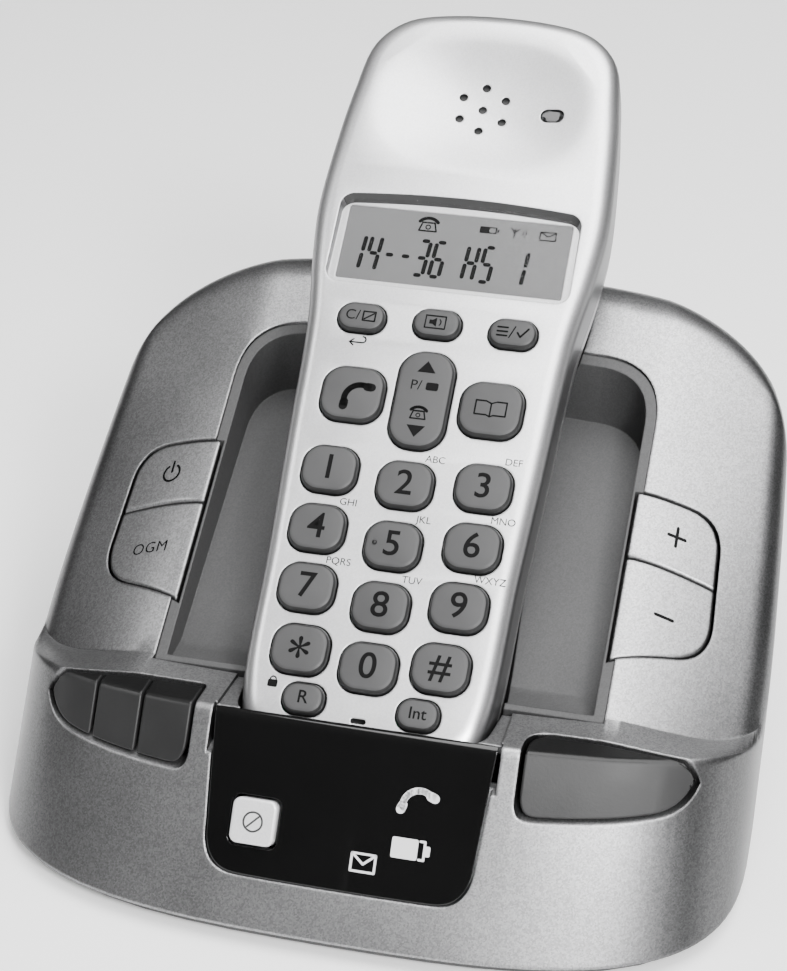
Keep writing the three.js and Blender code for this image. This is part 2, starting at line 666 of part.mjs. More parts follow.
const keyHole = (k, grow, low, high) =>
  plate(roundedRect(k.width + 2 * grow, k.height + 2 * grow, k.corner + grow, k.x, k.y), low, high, 2);

function handsetKey(k) {
  const edge = 0.8;
  const shape = roundedRect(k.width, k.height, k.corner, k.x, k.y);
  const cap = new THREE.ExtrudeGeometry(shape, {
    depth: KEY_PROUD + HANDSET_WALL + SHELL_CLEARANCE + 0.2 - edge,
    bevelThickness: edge,
    bevelSize: edge,
    bevelOffset: -edge,
    bevelSegments: 1,
    curveSegments: 2,
  });
  const rest = -HANDSET_WALL - SHELL_CLEARANCE;
  const low = rest - (k.sink ?? 0);
  const top = solid(cap.translate(0, 0, rest - 0.2)).intersect(solid(box(-40, 40, -60, 110, low - 0.1, 20)));
  const flange = solid(keyHole(k, KEY_FLANGE, low - KEY_FLANGE_THICK, low));
  return top.add(flange);
}

function frontShell() {
  const wall = HANDSET_WALL;
  const upper = solid(box(-60, 60, -80, 140, PARTING, 20));
  let shell = handsetForm(0).intersect(upper);
  shell = shell.subtract(handsetForm(-wall).intersect(solid(box(-60, 60, -80, 140, -30, -wall))));
  for (const k of KEYS) shell = shell.subtract(solid(keyHole(k, HANDSET_KEY_GAP, -12, 12)));
  const window = roundedRect(DISPLAY.width, DISPLAY.height, DISPLAY.corner, 0, DISPLAY.y);
  shell = shell.subtract(solid(plate(window, -12, 12)));
  const lamp = roundedRect(LAMP.width, LAMP.height, LAMP.corner, LAMP.x, LAMP.y);
  const dish = new THREE.SphereGeometry(1, 24, 10);
  dish.scale(DISH.halfWidth, DISH.halfHeight, DISH.depth).translate(0, DISH.y, 0);
  shell = shell.subtract(solid(dish));
  shell = shell.subtract(solid(plate(lamp, -12, 12)));
  const holes = [[0, 0]];
  for (let i = 0; i < SOUND_HOLE.count; i++) {
    const angle = (i * 2 * Math.PI) / SOUND_HOLE.count + Math.PI / 2;
    holes.push([SOUND_HOLE.ring * Math.cos(angle), SOUND_HOLE.ring * Math.sin(angle)]);
  }
  for (const [x, y] of holes) {
    shell = shell.subtract(solid(cylinder(SOUND_HOLE.radius, -12, 12, x, EARPIECE_Y + y, 10)));
  }
  const slot = roundedRect(2.6, 0.9, 0.4, 0, HANDSET_BOTTOM + 5.2);
  return shell.subtract(solid(plate(slot, -12, 12)));
}

// The door's outline; its opening is longer by the room that it slides into.
function doorOutline(grow, room = 0) {
  const [low, high] = [DOOR.low - room - grow, DOOR.high + grow];
  return roundedRect(2 * (DOOR.halfWidth + grow), high - low, DOOR.corner, 0, (low + high) / 2);
}

function backShell() {
  const lower = solid(box(-60, 60, -80, 140, -40, PARTING - GAP));
  let shell = handsetForm(0).intersect(lower);
  shell = shell.subtract(handsetForm(-HANDSET_WALL));
  const opening = doorOutline(GAP, DOOR.thumbRoom);
  shell = shell.subtract(solid(plate(opening, -HANDSET_DEPTH - 2, -HANDSET_DEPTH + HANDSET_WALL + 1)));
  for (const side of [-1, 1]) {
    const c = CONTACT;
    const reach = c.width / 2 + GAP;
    const [left, right] = [side * c.x - reach, side * c.x + reach];
    const slot = box(left, right, -60, HANDSET_BOTTOM + 6, c.low - GAP, c.high + GAP);
    shell = shell.subtract(solid(slot));
  }
  return shell;
}

function buildHandset() {
  add(handset, "handset_front_shell", lightSilver(), frontShell());
  add(handset, "handset_back_shell", silver(), backShell());
  for (const k of KEYS) add(handset, k.name, keyGrey(), handsetKey(k));

  const back = -HANDSET_DEPTH;
  add(handset, "battery_door", silver(), solid(plate(doorOutline(0), back, back + DOOR.thick)));
  const cellY = (DOOR.low + DOOR.high) / 2;
  for (const [name, side] of [["battery_cell_left", -1], ["battery_cell_right", 1]]) {
    const cell = new THREE.CylinderGeometry(CELL.radius, CELL.radius, CELL.length, 20);
    const height = back + DOOR.thick + GAP + CELL.radius;
    add(handset, name, finish(0x3f6fae, 0.4), cell.translate((side * CELL.spacing) / 2, cellY, height));
  }

  const matWidth = 37;
  const matShape = roundedRect(matWidth, 76, 3, 0, 4.6);
  add(handset, "key_mat", finish(0xd9d9d2, 0.8), plate(matShape, MAT_TOP - MAT_THICK, MAT_TOP));
  const boardShape = roundedRect(matWidth, 128, 6, 0, 27);
  const boardTop = MAT_TOP - MAT_THICK - GAP;
  add(handset, "handset_board", boardGreen(), plate(boardShape, boardTop - BOARD_THICK, boardTop));

  const { y: windowY, width, height, corner } = DISPLAY;
  const lens = roundedRect(width - 2 * GAP, height - 2 * GAP, corner - GAP, 0, windowY);
  add(handset, "display_lens", finish(0x9a9c98, 0.1), plate(lens, -LENS_DROP - LENS_THICK, -LENS_DROP));
  const lcd = roundedRect(width - 1.4, height - 1.4, 0.6, 0, windowY);
  const onBoard = boardTop + 0.2;
  const lcdTop = -LENS_DROP - LENS_THICK - GAP;
  add(handset, "display_module", finish(0x8f938c, 0.4), plate(lcd, onBoard, lcdTop));
  const underWall = -HANDSET_WALL - GAP;
  const speaker = cylinder(EARPIECE_RADIUS, onBoard, underWall, 0, EARPIECE_Y);
  add(handset, "earpiece", blackMatt(), speaker);
  const lamp = roundedRect(LAMP.width - 0.6, LAMP.height - 0.6, LAMP.corner - 0.3, LAMP.x, LAMP.y);
  add(handset, "lamp_window", finish(0x8d8f92, 0.25), plate(lamp, -4, -1));
  const capsule = cylinder(2.4, onBoard, underWall, 0, HANDSET_BOTTOM + 5.2, 16);
  add(handset, "microphone", blackMatt(), capsule);

  for (const [name, side] of [["charge_pad_left", -1], ["charge_pad_right", 1]]) {
    const c = CONTACT;
    const y = HANDSET_BOTTOM + c.recess;
    const pad = box(side * c.x - c.width / 2, side * c.x + c.width / 2, y, y + c.length, c.low, c.high);
    add(handset, name, metal(), pad);
  }
}

buildBase();
buildHandset();

// The part's origin is on the floor, under the middle of the whole object.
const phone = new THREE.Group();
phone.add(base, handset);
phone.updateMatrixWorld(true);
const extent = new THREE.Box3().setFromObject(phone, true);
const middleY = (extent.min.y + extent.max.y) / 2;
base.position.y = -middleY;
handset.position.y = -middleY;

export default phone;
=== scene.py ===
import math

import bmesh
import bpy
from mathutils import Matrix, Vector
from mathutils.bvhtree import BVHTree


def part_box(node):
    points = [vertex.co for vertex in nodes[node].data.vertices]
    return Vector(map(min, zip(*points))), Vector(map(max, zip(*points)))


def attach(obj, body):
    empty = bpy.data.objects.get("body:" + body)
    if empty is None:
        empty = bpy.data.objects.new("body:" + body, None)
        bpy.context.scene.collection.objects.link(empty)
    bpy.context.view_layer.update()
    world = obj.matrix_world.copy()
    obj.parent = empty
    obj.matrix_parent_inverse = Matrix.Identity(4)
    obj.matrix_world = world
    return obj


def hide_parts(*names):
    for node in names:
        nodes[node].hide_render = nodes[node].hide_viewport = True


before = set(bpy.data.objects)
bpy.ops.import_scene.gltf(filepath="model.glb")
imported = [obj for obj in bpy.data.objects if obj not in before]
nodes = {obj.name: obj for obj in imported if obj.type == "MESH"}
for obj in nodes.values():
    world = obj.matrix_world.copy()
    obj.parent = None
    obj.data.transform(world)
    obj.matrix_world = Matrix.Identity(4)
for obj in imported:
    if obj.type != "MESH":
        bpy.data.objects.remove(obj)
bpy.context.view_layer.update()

# Shapes are worked out in millimetres, and placed in metres by the frames below.
MM = 0.001
MERGE = 0.06  # cuts leave slivers, and points closer than this are joined
THIN_FACE = 0.03 * MM  # metres: faces thinner than this have no steady normal

# Limits of cutting blocks, all well outside the base.
ASIDE = 80
AHEAD = -70
BEHIND = 90
ABOVE = 90
THROUGH = 12  # how far a hole's cutter reaches below and above a face

# ---------------------------------------------------------------- base sizes
BASE_HALF_WIDTH = 65.5
BASE_FRONT = -53
BASE_BACK = 72
SKIRT_HEIGHT = 3.2
RIDGE_Y = -31.6
LEDGE_AT_ZERO = 21.2
LEDGE_SLOPE = -0.33
CREASE_Y = -18.6
ARCH_AT_ZERO = 38.7
ARCH_SLOPE = 0.54
ARCH_BACK_RADIUS = 12
ARCH_FALL = 11
ARCH_FALL_SLOPE = 0.08
ARCH_FALL_POWER = 1.38
LEDGE_FALL = 1.5
FALL_HEIGHT = 18  # above the skirt, where the fall has its full value
EDGE_WIDTH = 4
EDGE_DROP = 3.5
CORNER_FRONT = 40
CORNER_FRONT_POWER = 3.5
CORNER_FRONT_END = 12
FRONT_BOW = 1.5
RIDGE_SHARE = 0.8
CREASE_SHARE = 0.5
CORNER_BACK = 30
CORNER_BACK_POWER = 3
CORNER_BACK_START = 30
SIDE_TAPER = 0.05
REACH = 50  # the distance at which the front's bow and the sides' taper are given
COVER_WALL = 2.4
SEAM = 0.3
KEY_GAP = 0.45
PRESS_ROOM = 0.3  # more room round a front key, which moves at a slant to its walls

RECESS_HALF_WIDTH = 39.5
RECESS_BACK = 47
RECESS_CORNER = 11
RECESS_FLOOR_BACK = -9
RECESS_FLOOR_Z = 27
RECESS_WALL_SLOPE = 0.435
LINER_WALL = 2

PANEL_HALF_TOP = 24.6
PANEL_HALF_BOTTOM = 22.6
PANEL_BOTTOM = 10.2
PANEL_CORNER = 6
PANEL_THICK = 1.2

FRONT_KEYS = {"inner": 28.4, "outer": 56.4, "bottom": 22.6, "back": -24.6, "corner": 6.4, "small": 3}
FRONT_KEY_SPLITS = [37.4, 46.2]
FRONT_KEY_DEPTH = 3.2
SIDE_KEYS = {"inner": 38.4, "outer": 54.3, "low": -7.4, "low_outer": -1.5, "split": 10, "high": 21.4}
SIDE_KEY_CORNER = 5.5
SIDE_KEY_DEPTH = 3
PAGE_KEY_CORNER = 1.4
PAGE_KEY_TOP = 0.9

# ------------------------------------------------------------- handset sizes
LEAN = math.radians(36)
FACE_HEIGHT = 52.4
HANDSET_BOTTOM = -41.5
HANDSET_TOP = 103.6
HANDSET_HALF_WIDTH = 27
HANDSET_DEPTH = 22
HANDSET_EDGE = 3.6
HANDSET_TUCK = 7
PARTING = -9.4
HANDSET_WALL = 2.2
INSIDE_EDGE = 1.2
CRADLE_CLEARANCE = 0.7
KEY_FLANGE = 0.55
HANDSET_KEY_GAP = 0.3
EARPIECE_Y = 83
DISH = {"y": EARPIECE_Y, "half_width": 20.5, "half_height": 14.6, "depth": 1.9}
DISH_POWER = 1.25  # how gently the dish runs out at its rim
SOUND_HOLE = {"radius": 0.8, "ring": 4.6, "count": 6}
MICROPHONE_SLOT = {"width": 2.6, "height": 0.9, "corner": 0.4, "y": HANDSET_BOTTOM + 5.2}
WINDOW_BOW = 1.0
WINDOW_MARGIN = {"side": 1.7, "bottom": 1.5, "top": 3.0}  # from the display's edge to the opening's
WINDOW_SHOULDER = 1.7  # how far the upper wall of the opening slopes
WINDOW_DEPTH = 1.5
DISPLAY_TOP = -WINDOW_DEPTH - 0.12

HANDSET_OUTLINE = [
    (12, HANDSET_BOTTOM),
    (19.2, HANDSET_BOTTOM + 2.4),
    (21.3, HANDSET_BOTTOM + 9),
    (22.2, -8),
    (23.2, 13),
    (24.3, 37),
    (26.1, 50),
    (HANDSET_HALF_WIDTH, 60),
    (26.5, 72),
    (25.2, 85),
    (23, 96),
    (18, 101.2),
    (9, HANDSET_TOP - 0.2),
]

# The base's frame has its front foot at BASE_FRONT; the cover's box says where that is.
middle_y = BASE_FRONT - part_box("base_cover")[0].y / MM
BASE_FRAME = Matrix.Scale(MM, 4) @ Matrix.Translation((0, -middle_y, 0))
LEANED = Matrix.Translation((0, 0, FACE_HEIGHT)) @ Matrix.Rotation(LEAN, 4, "X")
HANDSET_FRAME = BASE_FRAME @ LEANED


# ------------------------------------------------------------------ helpers
def clamp01(t):
    return min(1.0, max(0.0, t))


def lerp(a, b, t):
    return a + (b - a) * t


def ledge_z(y):
    return LEDGE_AT_ZERO + LEDGE_SLOPE * y


def arch_z(y):
    return ARCH_AT_ZERO + ARCH_SLOPE * y


def recess_z(y):
    return RECESS_FLOOR_Z + RECESS_WALL_SLOPE * (y - RECESS_FLOOR_BACK)


def arc(cx, cy, radius, start, end, steps):
    """Points of an arc, both ends included; angles in degrees."""
    turns = [math.radians(lerp(start, end, i / steps)) for i in range(steps + 1)]
    return [(cx + radius * math.cos(t), cy + radius * math.sin(t)) for t in turns]


def bezier(p0, p1, p2, steps):
    """Points of a quadratic curve, the first left out."""
    out = []
    for t in (i / steps for i in range(1, steps + 1)):
        shares = ((1 - t) ** 2, 2 * t * (1 - t), t * t)
        out.append(tuple(shares[0] * a + shares[1] * b + shares[2] * c for a, b, c in zip(p0, p1, p2)))
    return out


def rect(x0, y0, x1, y1):
    return [(x0, y0), (x1, y0), (x1, y1), (x0, y1)]


def rounded(width, height, corner, cx=0, cy=0, steps=8):
    x, y = width / 2 - corner, height / 2 - corner
    centres = [(x, y), (-x, y), (-x, -y), (x, -y)]
    points = []
    for i, (dx, dy) in enumerate(centres):
        points += arc(cx + dx, cy + dy, corner, i * 90, i * 90 + 90, steps)
    return points


def extrude(shape, faces, offset):
    """Extrudes faces by an offset and gives the new end faces. No face stays inside."""
    made = bmesh.ops.extrude_face_region(shape, geom=faces)["geom"]
    inside = [f for f in faces if any(len(e.link_faces) > 2 for e in f.edges)]
    bmesh.ops.delete(shape, geom=inside, context="FACES_ONLY")
    bmesh.ops.translate(shape, vec=offset, verts=[v for v in made if isinstance(v, bmesh.types.BMVert)])
    return [f for f in made if isinstance(f, bmesh.types.BMFace)]


def prism(outline, low, high, steps=1):
    """A closed solid with a flat outline in X and Y between two heights."""
    shape = bmesh.new()
    end = [shape.faces.new([shape.verts.new((x, y, low)) for x, y in outline])]
    for _ in range(steps):
        end = extrude(shape, end, (0, 0, (high - low) / steps))
    bmesh.ops.recalc_face_normals(shape, faces=shape.faces)
    return shape


def turned(shape, matrix):
    bmesh.ops.transform(shape, matrix=matrix, verts=shape.verts)
    if matrix.determinant() < 0:
        bmesh.ops.reverse_faces(shape, faces=shape.faces)
    return shape


UPRIGHT = Matrix(((1, 0, 0, 0), (0, 0, -1, 0), (0, 1, 0, 0), (0, 0, 0, 1)))
CROSSWISE = Matrix(((0, 0, 1, 0), (1, 0, 0, 0), (0, 1, 0, 0), (0, 0, 0, 1)))


def upright(outline, low, high):
    """The same with its outline in X and Z, from low to high along Y."""
    return turned(prism(outline, -high, -low), UPRIGHT)


def crosswise(outline, half_width):
    """The same with its outline in Y and Z, between -half_width and half_width."""
    return turned(prism(outline, -half_width, half_width), CROSSWISE)


def block(x0, x1, y0, y1, z0, z1):
    return prism(rect(x0, y0, x1, y1), z0, z1)


def hole(outline):
    return prism(outline, -THROUGH, THROUGH)


def mirrored(shape):
    return turned(shape, Matrix.Scale(-1, 4, (1, 0, 0)))


def to_mesh(shape, name="holder"):
    """Makes a mesh of a shape, which is used up."""
    mesh = bpy.data.meshes.new(name)
    shape.to_mesh(mesh)
    shape.free()
    return mesh


def in_scene(name, data):
    made = bpy.data.objects.new(name, data)
    bpy.context.scene.collection.objects.link(made)
    return made


def combined(first, second, operation):
    """A boolean of two shapes, which are both used up."""
    holders = []
    for shape in (first, second):
        bmesh.ops.triangulate(shape, faces=shape.faces)
        holders.append(in_scene("holder", to_mesh(shape)))
    tool = holders[0].modifiers.new("cut", "BOOLEAN")
    tool.object = holders[1]
    tool.operation = operation
    tool.solver = "MANIFOLD"
    bpy.context.view_layer.update()
    result = bmesh.new()
    result.from_object(holders[0], bpy.context.evaluated_depsgraph_get())
    for holder in holders:
        mesh = holder.data
        bpy.data.objects.remove(holder)
        bpy.data.meshes.remove(mesh)
    return result


def cut(shape, *cutters):
    for cutter in cutters:
        shape = combined(shape, cutter, "DIFFERENCE")
    return shape


def common(shape, other):
    return combined(shape, other, "INTERSECT")


def joined(shape, other):
    return combined(shape, other, "UNION")


def smooth_corners(mesh, sharp):
    """Blends the normals of faces that meet gently, leaving needle-thin faces out of the blend."""
    limit = math.cos(math.radians(sharp))
    around = [[] for _ in mesh.vertices]
    for face in mesh.polygons:
        corners = [mesh.vertices[v].co for v in face.vertices]
        after = corners[1:] + corners[:1]
        if 2 * face.area < THIN_FACE * max((a - b).length for a, b in zip(corners, after)):
            continue
        for i, v in enumerate(face.vertices):
            spread = (after[i] - corners[i]).angle(corners[i - 1] - corners[i], 0)
            around[v].append((face.normal.copy(), spread))
    normals = []
    for face in mesh.polygons:
        for v in face.vertices:
            blend = sum((n * w for n, w in around[v] if n.dot(face.normal) > limit), Vector())
            normals.append(blend.normalized() if blend.length else face.normal.copy())
    mesh.normals_split_custom_set(normals)


def make_piece(
    name, shape, matrix, materials, body, replaced=(), bevel=0, sharp=35, segments=2, flat=0
):  # fmt: skip
    """Turns a shape in millimetres into a finished piece that rides on a body.

    flat is the angle in degrees up to which neighbouring faces are first made one.
    """
    if flat:
        bmesh.ops.dissolve_limit(
            shape, angle_limit=math.radians(flat), verts=shape.verts, edges=shape.edges, delimit={"MATERIAL"}
        )
    else:
        bmesh.ops.triangulate(shape, faces=shape.faces)
    bmesh.ops.remove_doubles(shape, verts=shape.verts, dist=MERGE)
    bmesh.ops.dissolve_degenerate(shape, edges=shape.edges, dist=MERGE)
    turned(shape, matrix)
    mesh = to_mesh(shape, name)
    mesh.shade_smooth()
    if bevel:
        mesh.set_sharp_from_angle(angle=math.radians(sharp))
    else:
        smooth_corners(mesh, sharp)
    for material in materials if isinstance(materials, list) else [materials]:
        mesh.materials.append(material)
    piece = in_scene(name, mesh)
    if bevel:
        round_off = piece.modifiers.new("edges", "BEVEL")
        round_off.width = bevel * MM
        round_off.segments = segments
        round_off.limit_method = "ANGLE"
        round_off.angle_limit = math.radians(sharp)
        round_off.use_clamp_overlap = False
        round_off.harden_normals = True
    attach(piece, body)
    if replaced:
        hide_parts(*replaced)
    return piece


def local_box(name, matrix):
    """A node's box in a tilted frame, as lowest and highest corners in millimetres."""
    back = matrix.inverted()
    points = [back @ v.co for v in nodes[name].data.vertices]
    low = Vector([min(p[i] for p in points) for i in range(3)])
    high = Vector([max(p[i] for p in points) for i in range(3)])
    return low, high


# ---------------------------------------------------------------- materials
def new_material(name):
    material = bpy.data.materials.new(name)
    material.use_nodes = True
    tree = material.node_tree
    return material, tree, tree.nodes["Principled BSDF"]


def link(tree, source, target):
    tree.links.new(source, target)


def texture(tree, kind, scale, **inputs):
    node = tree.nodes.new(kind)
    node.inputs["Scale"].default_value = scale
    for key, value in inputs.items():
        node.inputs[key].default_value = value
    if "coords" not in tree.nodes:
        tree.nodes.new("ShaderNodeTexCoord").name = "coords"
    link(tree, tree.nodes["coords"].outputs["Object"], node.inputs["Vector"])
    return node


def ramp(tree, source, low, high, start=0.3, end=0.7):
    """Maps a value onto a range between two greys or colours."""
    node = tree.nodes.new("ShaderNodeValToRGB")
    for element, place, value in zip(node.color_ramp.elements, (start, end), (low, high)):
        element.position = place
        element.color = (*value, 1) if isinstance(value, tuple) else (value, value, value, 1)
    link(tree, source, node.inputs["Fac"])
    return node.outputs["Color"]


def multiplied(tree, first, second):
    node = tree.nodes.new("ShaderNodeMix")
    node.data_type = "RGBA"
    node.blend_type = "MULTIPLY"
    node.inputs[0].default_value = 1.0
    link(tree, first, node.inputs[6])
    link(tree, second, node.inputs[7])
    return node.outputs[2]


def finish_surface(tree, shader, grain, depth, edge):
    """Adds a fine relief, and rounds the look of every edge by a small radius under it."""
    relief = tree.nodes.new("ShaderNodeBump")
    relief.inputs["Strength"].default_value = 0.5
    relief.inputs["Distance"].default_value = depth
    link(tree, grain.outputs["Fac"], relief.inputs["Height"])
    if edge:
        soft = tree.nodes.new("ShaderNodeBevel")
        soft.samples = 6
        soft.inputs["Radius"].default_value = edge * MM
        link(tree, soft.outputs["Normal"], relief.inputs["Normal"])
    link(tree, relief.outputs["Normal"], shader.inputs["Normal"])


def tones(colour, spread):
    """A darker and a lighter version of a colour."""
    return tuple(c * (1 - spread) for c in colour), tuple(min(1, c * (1 + spread)) for c in colour)


def facing(tree, direction):
    """How far the surface faces a direction of the object: 1 along it, 0 square to it."""
    node = tree.nodes.new("ShaderNodeVectorMath")
    node.operation = "DOT_PRODUCT"
    link(tree, tree.nodes["coords"].outputs["Normal"], node.inputs[0])
    node.inputs[1].default_value = direction
    return node.outputs["Value"]


def metallic_paint(name, paint, flake=0.16, rough=(0.3, 0.42), metal=0.75, coat=0.12, painted_shade=(), edge=0.4):
    """Silver paint on a moulding: fine bright and dark flakes, and a soft cloudy roughness.

    Each entry of painted shade gives a direction, and the paint's tones where it faces away from it and along
    it: a painted shade that darkens the surfaces turned from the light.
    """
    material, tree, shader = new_material(name)
    flakes = texture(tree, "ShaderNodeTexVoronoi", 3800)
    cloud = texture(tree, "ShaderNodeTexNoise", 38, Detail=3.0)
    grain = texture(tree, "ShaderNodeTexNoise", 5200, Detail=1.0)
    speckle = ramp(tree, flakes.outputs["Color"], *tones(paint, flake), 0.15, 0.85)
    colour = multiplied(tree, speckle, ramp(tree, cloud.outputs["Fac"], 0.93, 1.0))
    # Painted shade: darkens the colour where the surface turns away from each given direction.
    for direction, *shades in painted_shade:
        colour = multiplied(tree, colour, ramp(tree, facing(tree, direction), *shades))
    link(tree, colour, shader.inputs["Base Color"])
    link(tree, ramp(tree, cloud.outputs["Fac"], *rough), shader.inputs["Roughness"])
    finish_surface(tree, shader, grain, 0.00002, edge)
    shader.inputs["Metallic"].default_value = metal
    shader.inputs["Coat Weight"].default_value = coat
    shader.inputs["Coat Roughness"].default_value = 0.25
    return material


def moulded_plastic(
    name, colour, rough, grain_scale=1800, grain_depth=0.00003, tint=0.12, gloss=0.5, edge=0.25
):  # fmt: skip
    """Plastic or rubber with a fine moulded grain and slightly uneven gloss."""
    material, tree, shader = new_material(name)
    grain = texture(tree, "ShaderNodeTexNoise", grain_scale, Detail=2.0)
    cloud = texture(tree, "ShaderNodeTexNoise", 55, Detail=4.0).outputs["Fac"]
    link(tree, ramp(tree, cloud, *tones(colour, tint)), shader.inputs["Base Color"])
    link(tree, ramp(tree, cloud, rough * 0.85, min(1, rough * 1.15)), shader.inputs["Roughness"])
    finish_surface(tree, shader, grain, grain_depth, edge)
    shader.inputs["Specular IOR Level"].default_value = gloss
    return material


def bare_metal(name, colour, rough):
    material, tree, shader = new_material(name)
    scuff = texture(tree, "ShaderNodeTexNoise", 900, Detail=3.0).outputs["Fac"]
    link(tree, ramp(tree, scuff, tuple(c * 0.85 for c in colour), colour), shader.inputs["Base Color"])
    link(tree, ramp(tree, scuff, rough * 0.7, rough * 1.4), shader.inputs["Roughness"])
    shader.inputs["Metallic"].default_value = 1.0
    return material


def circuit_board(name):
    material, tree, shader = new_material(name)
    greens = {
        "Color1": (0.03, 0.14, 0.06, 1),
        "Color2": (0.035, 0.16, 0.07, 1),
        "Mortar": (0.06, 0.24, 0.1, 1),
    }
    tracks = texture(tree, "ShaderNodeTexBrick", 260, **greens)
    link(tree, tracks.outputs["Color"], shader.inputs["Base Color"])
    shader.inputs["Roughness"].default_value = 0.35
    return material


def clear_window(name):
    """Clear hard plastic: mostly transparent, with its own reflections and faint wipe marks."""
    material, tree, shader = new_material(name)
    wipe = texture(tree, "ShaderNodeTexNoise", 60, Detail=5.0)
    link(tree, ramp(tree, wipe.outputs["Fac"], 0.03, 0.1), shader.inputs["Roughness"])
    shader.inputs["Base Color"].default_value = (0.06, 0.06, 0.06, 1)
    shader.inputs["Alpha"].default_value = 0.05
    return material


def grey(value):
    return (value, value, value * 1.015)


# Painted shade on the base: darker where it turns from up, and on its left and right flanks.
BASE_PAINTED_SHADE = [
    ((0, 0, 1), 0.5, 1.0, 0.0, 0.45),
    ((-1, 0, 0), 1.0, 0.3, 0.02, 0.6),
    ((1, 0, 0), 1.0, 0.3, 0.14, 0.6),
]
# Painted shade on the handset: darker where its paint turns away from the face, over the rounded sides.
HANDSET_PAINTED_SHADE = [((0, -math.sin(LEAN), math.cos(LEAN)), 0.16, 1.0, 0.3, 0.97)]
silver = metallic_paint(
    "base_silver_paint", grey(0.36), flake=0.22, rough=(0.32, 0.4), metal=0.9, painted_shade=BASE_PAINTED_SHADE, edge=0.6
)
handset_silver = metallic_paint(
    "handset_light_silver_paint", grey(0.78), flake=0.05, rough=(0.34, 0.4), metal=0.88, painted_shade=HANDSET_PAINTED_SHADE
)
back_silver = metallic_paint("handset_back_paint", grey(0.24), flake=0.1, metal=0.9)
# Painted shade: the recess takes a far darker copy of the cover's silver paint, standing for the shadow in
# the cradle's hollow.
recess_painted_shade = metallic_paint(
    "recess_silver_painted_shade", grey(0.06), flake=0.12, rough=(0.5, 0.6), metal=0.3, coat=0.0
)
bezel_silver = metallic_paint("display_bezel_paint", grey(0.72), flake=0.04, rough=(0.3, 0.36), metal=0.4)
page_paint = metallic_paint("page_key_paint", grey(0.8), flake=0.05, metal=0.3)
panel_black = moulded_plastic("panel_black_gloss", grey(0.003), 0.1, 900, 0.000004)
dark_key = moulded_plastic("dark_key_plastic", grey(0.015), 0.45, gloss=0.35)
# Painted shade: a darker copy of the key plastic for the front keys' top facet, which faces away from the
# light.
front_key_top_painted_shade = moulded_plastic("front_key_top_plastic_painted_shade", grey(0.006), 0.35, gloss=0.35)
wide_key = moulded_plastic("play_key_plastic", grey(0.024), 0.5, gloss=0.35)
key_top = moulded_plastic("key_top_rubber", grey(0.058), 0.5, 1200, gloss=0.3)
# Painted shade: a darker copy of the key rubber for the caps' sides.
key_side_painted_shade = moulded_plastic("key_side_rubber_painted_shade", grey(0.014), 0.45, 1200, gloss=0.3)
ink = moulded_plastic("black_print", grey(0.004), 0.6, 3000, 0.00001, tint=0.3, gloss=0.08, edge=0)
pale_ink = moulded_plastic("pale_print", grey(0.66), 0.45, 3000, 0.00001, tint=0.06, edge=0)
glass_grey = moulded_plastic("display_glass_grey", grey(0.13), 0.35, 4000, 0.000005, tint=0.04, edge=0)
window_clear = clear_window("display_window_clear")
black_plastic = moulded_plastic("black_moulding", grey(0.025), 0.5)
tray_plastic = moulded_plastic("tray_dark_moulding", grey(0.06), 0.55, 1500, 0.00006)
foot_rubber = moulded_plastic("foot_rubber", grey(0.03), 0.8)
mat_rubber = moulded_plastic("key_mat_rubber", (0.55, 0.55, 0.52), 0.7)
lamp_plastic = moulded_plastic("lamp_smoked_plastic", grey(0.1), 0.3, 900, 0.00001, gloss=0.3)
# Painted shade: a near-black copy of the plastic for the upper wall of the display opening, in place of its
# shadow.
window_wall_painted_shade = moulded_plastic("window_upper_wall_painted_shade", grey(0.03), 0.4, gloss=0.4)
contact_metal = bare_metal("contact_nickel", (0.72, 0.7, 0.65), 0.22)
screw_steel = bare_metal("screw_zinc", (0.5, 0.5, 0.52), 0.35)
cell_wrap = moulded_plastic("cell_wrap_blue", (0.05, 0.16, 0.4), 0.3)
board_green = circuit_board("board_green_mask")


# --------------------------------------------------------------- base: form
def side_profile():
    """Front foot to back foot: sloping face, ridge, ledge, arch and rounded back."""
    lean = math.atan(ARCH_SLOPE)
    reach = ARCH_BACK_RADIUS / math.tan((math.pi / 2 - lean) / 2)
    start_y = BASE_BACK - reach * math.cos(lean)
    top = ledge_z(RIDGE_Y)
    points = [(BASE_FRONT, 0), (BASE_FRONT, SKIRT_HEIGHT), (RIDGE_Y - 0.9, top - 1.3)]
    points += bezier(points[-1], (RIDGE_Y - 0.1, top), (RIDGE_Y + 1.1, ledge_z(RIDGE_Y + 1.1)), 5)
    steps = 20
    for i in range(steps):
        y = lerp(CREASE_Y, start_y, i / steps)
        points.append((y, arch_z(y)))
    centre_z = arch_z(BASE_BACK) - reach
    points += arc(BASE_BACK - ARCH_BACK_RADIUS, centre_z, ARCH_BACK_RADIUS, 90 + math.degrees(lean), 0, 14)
    return points + [(BASE_BACK, 0)]


def corner_round(u, power):
    return 1 - (1 - min(1, u) ** power) ** (1 / power)


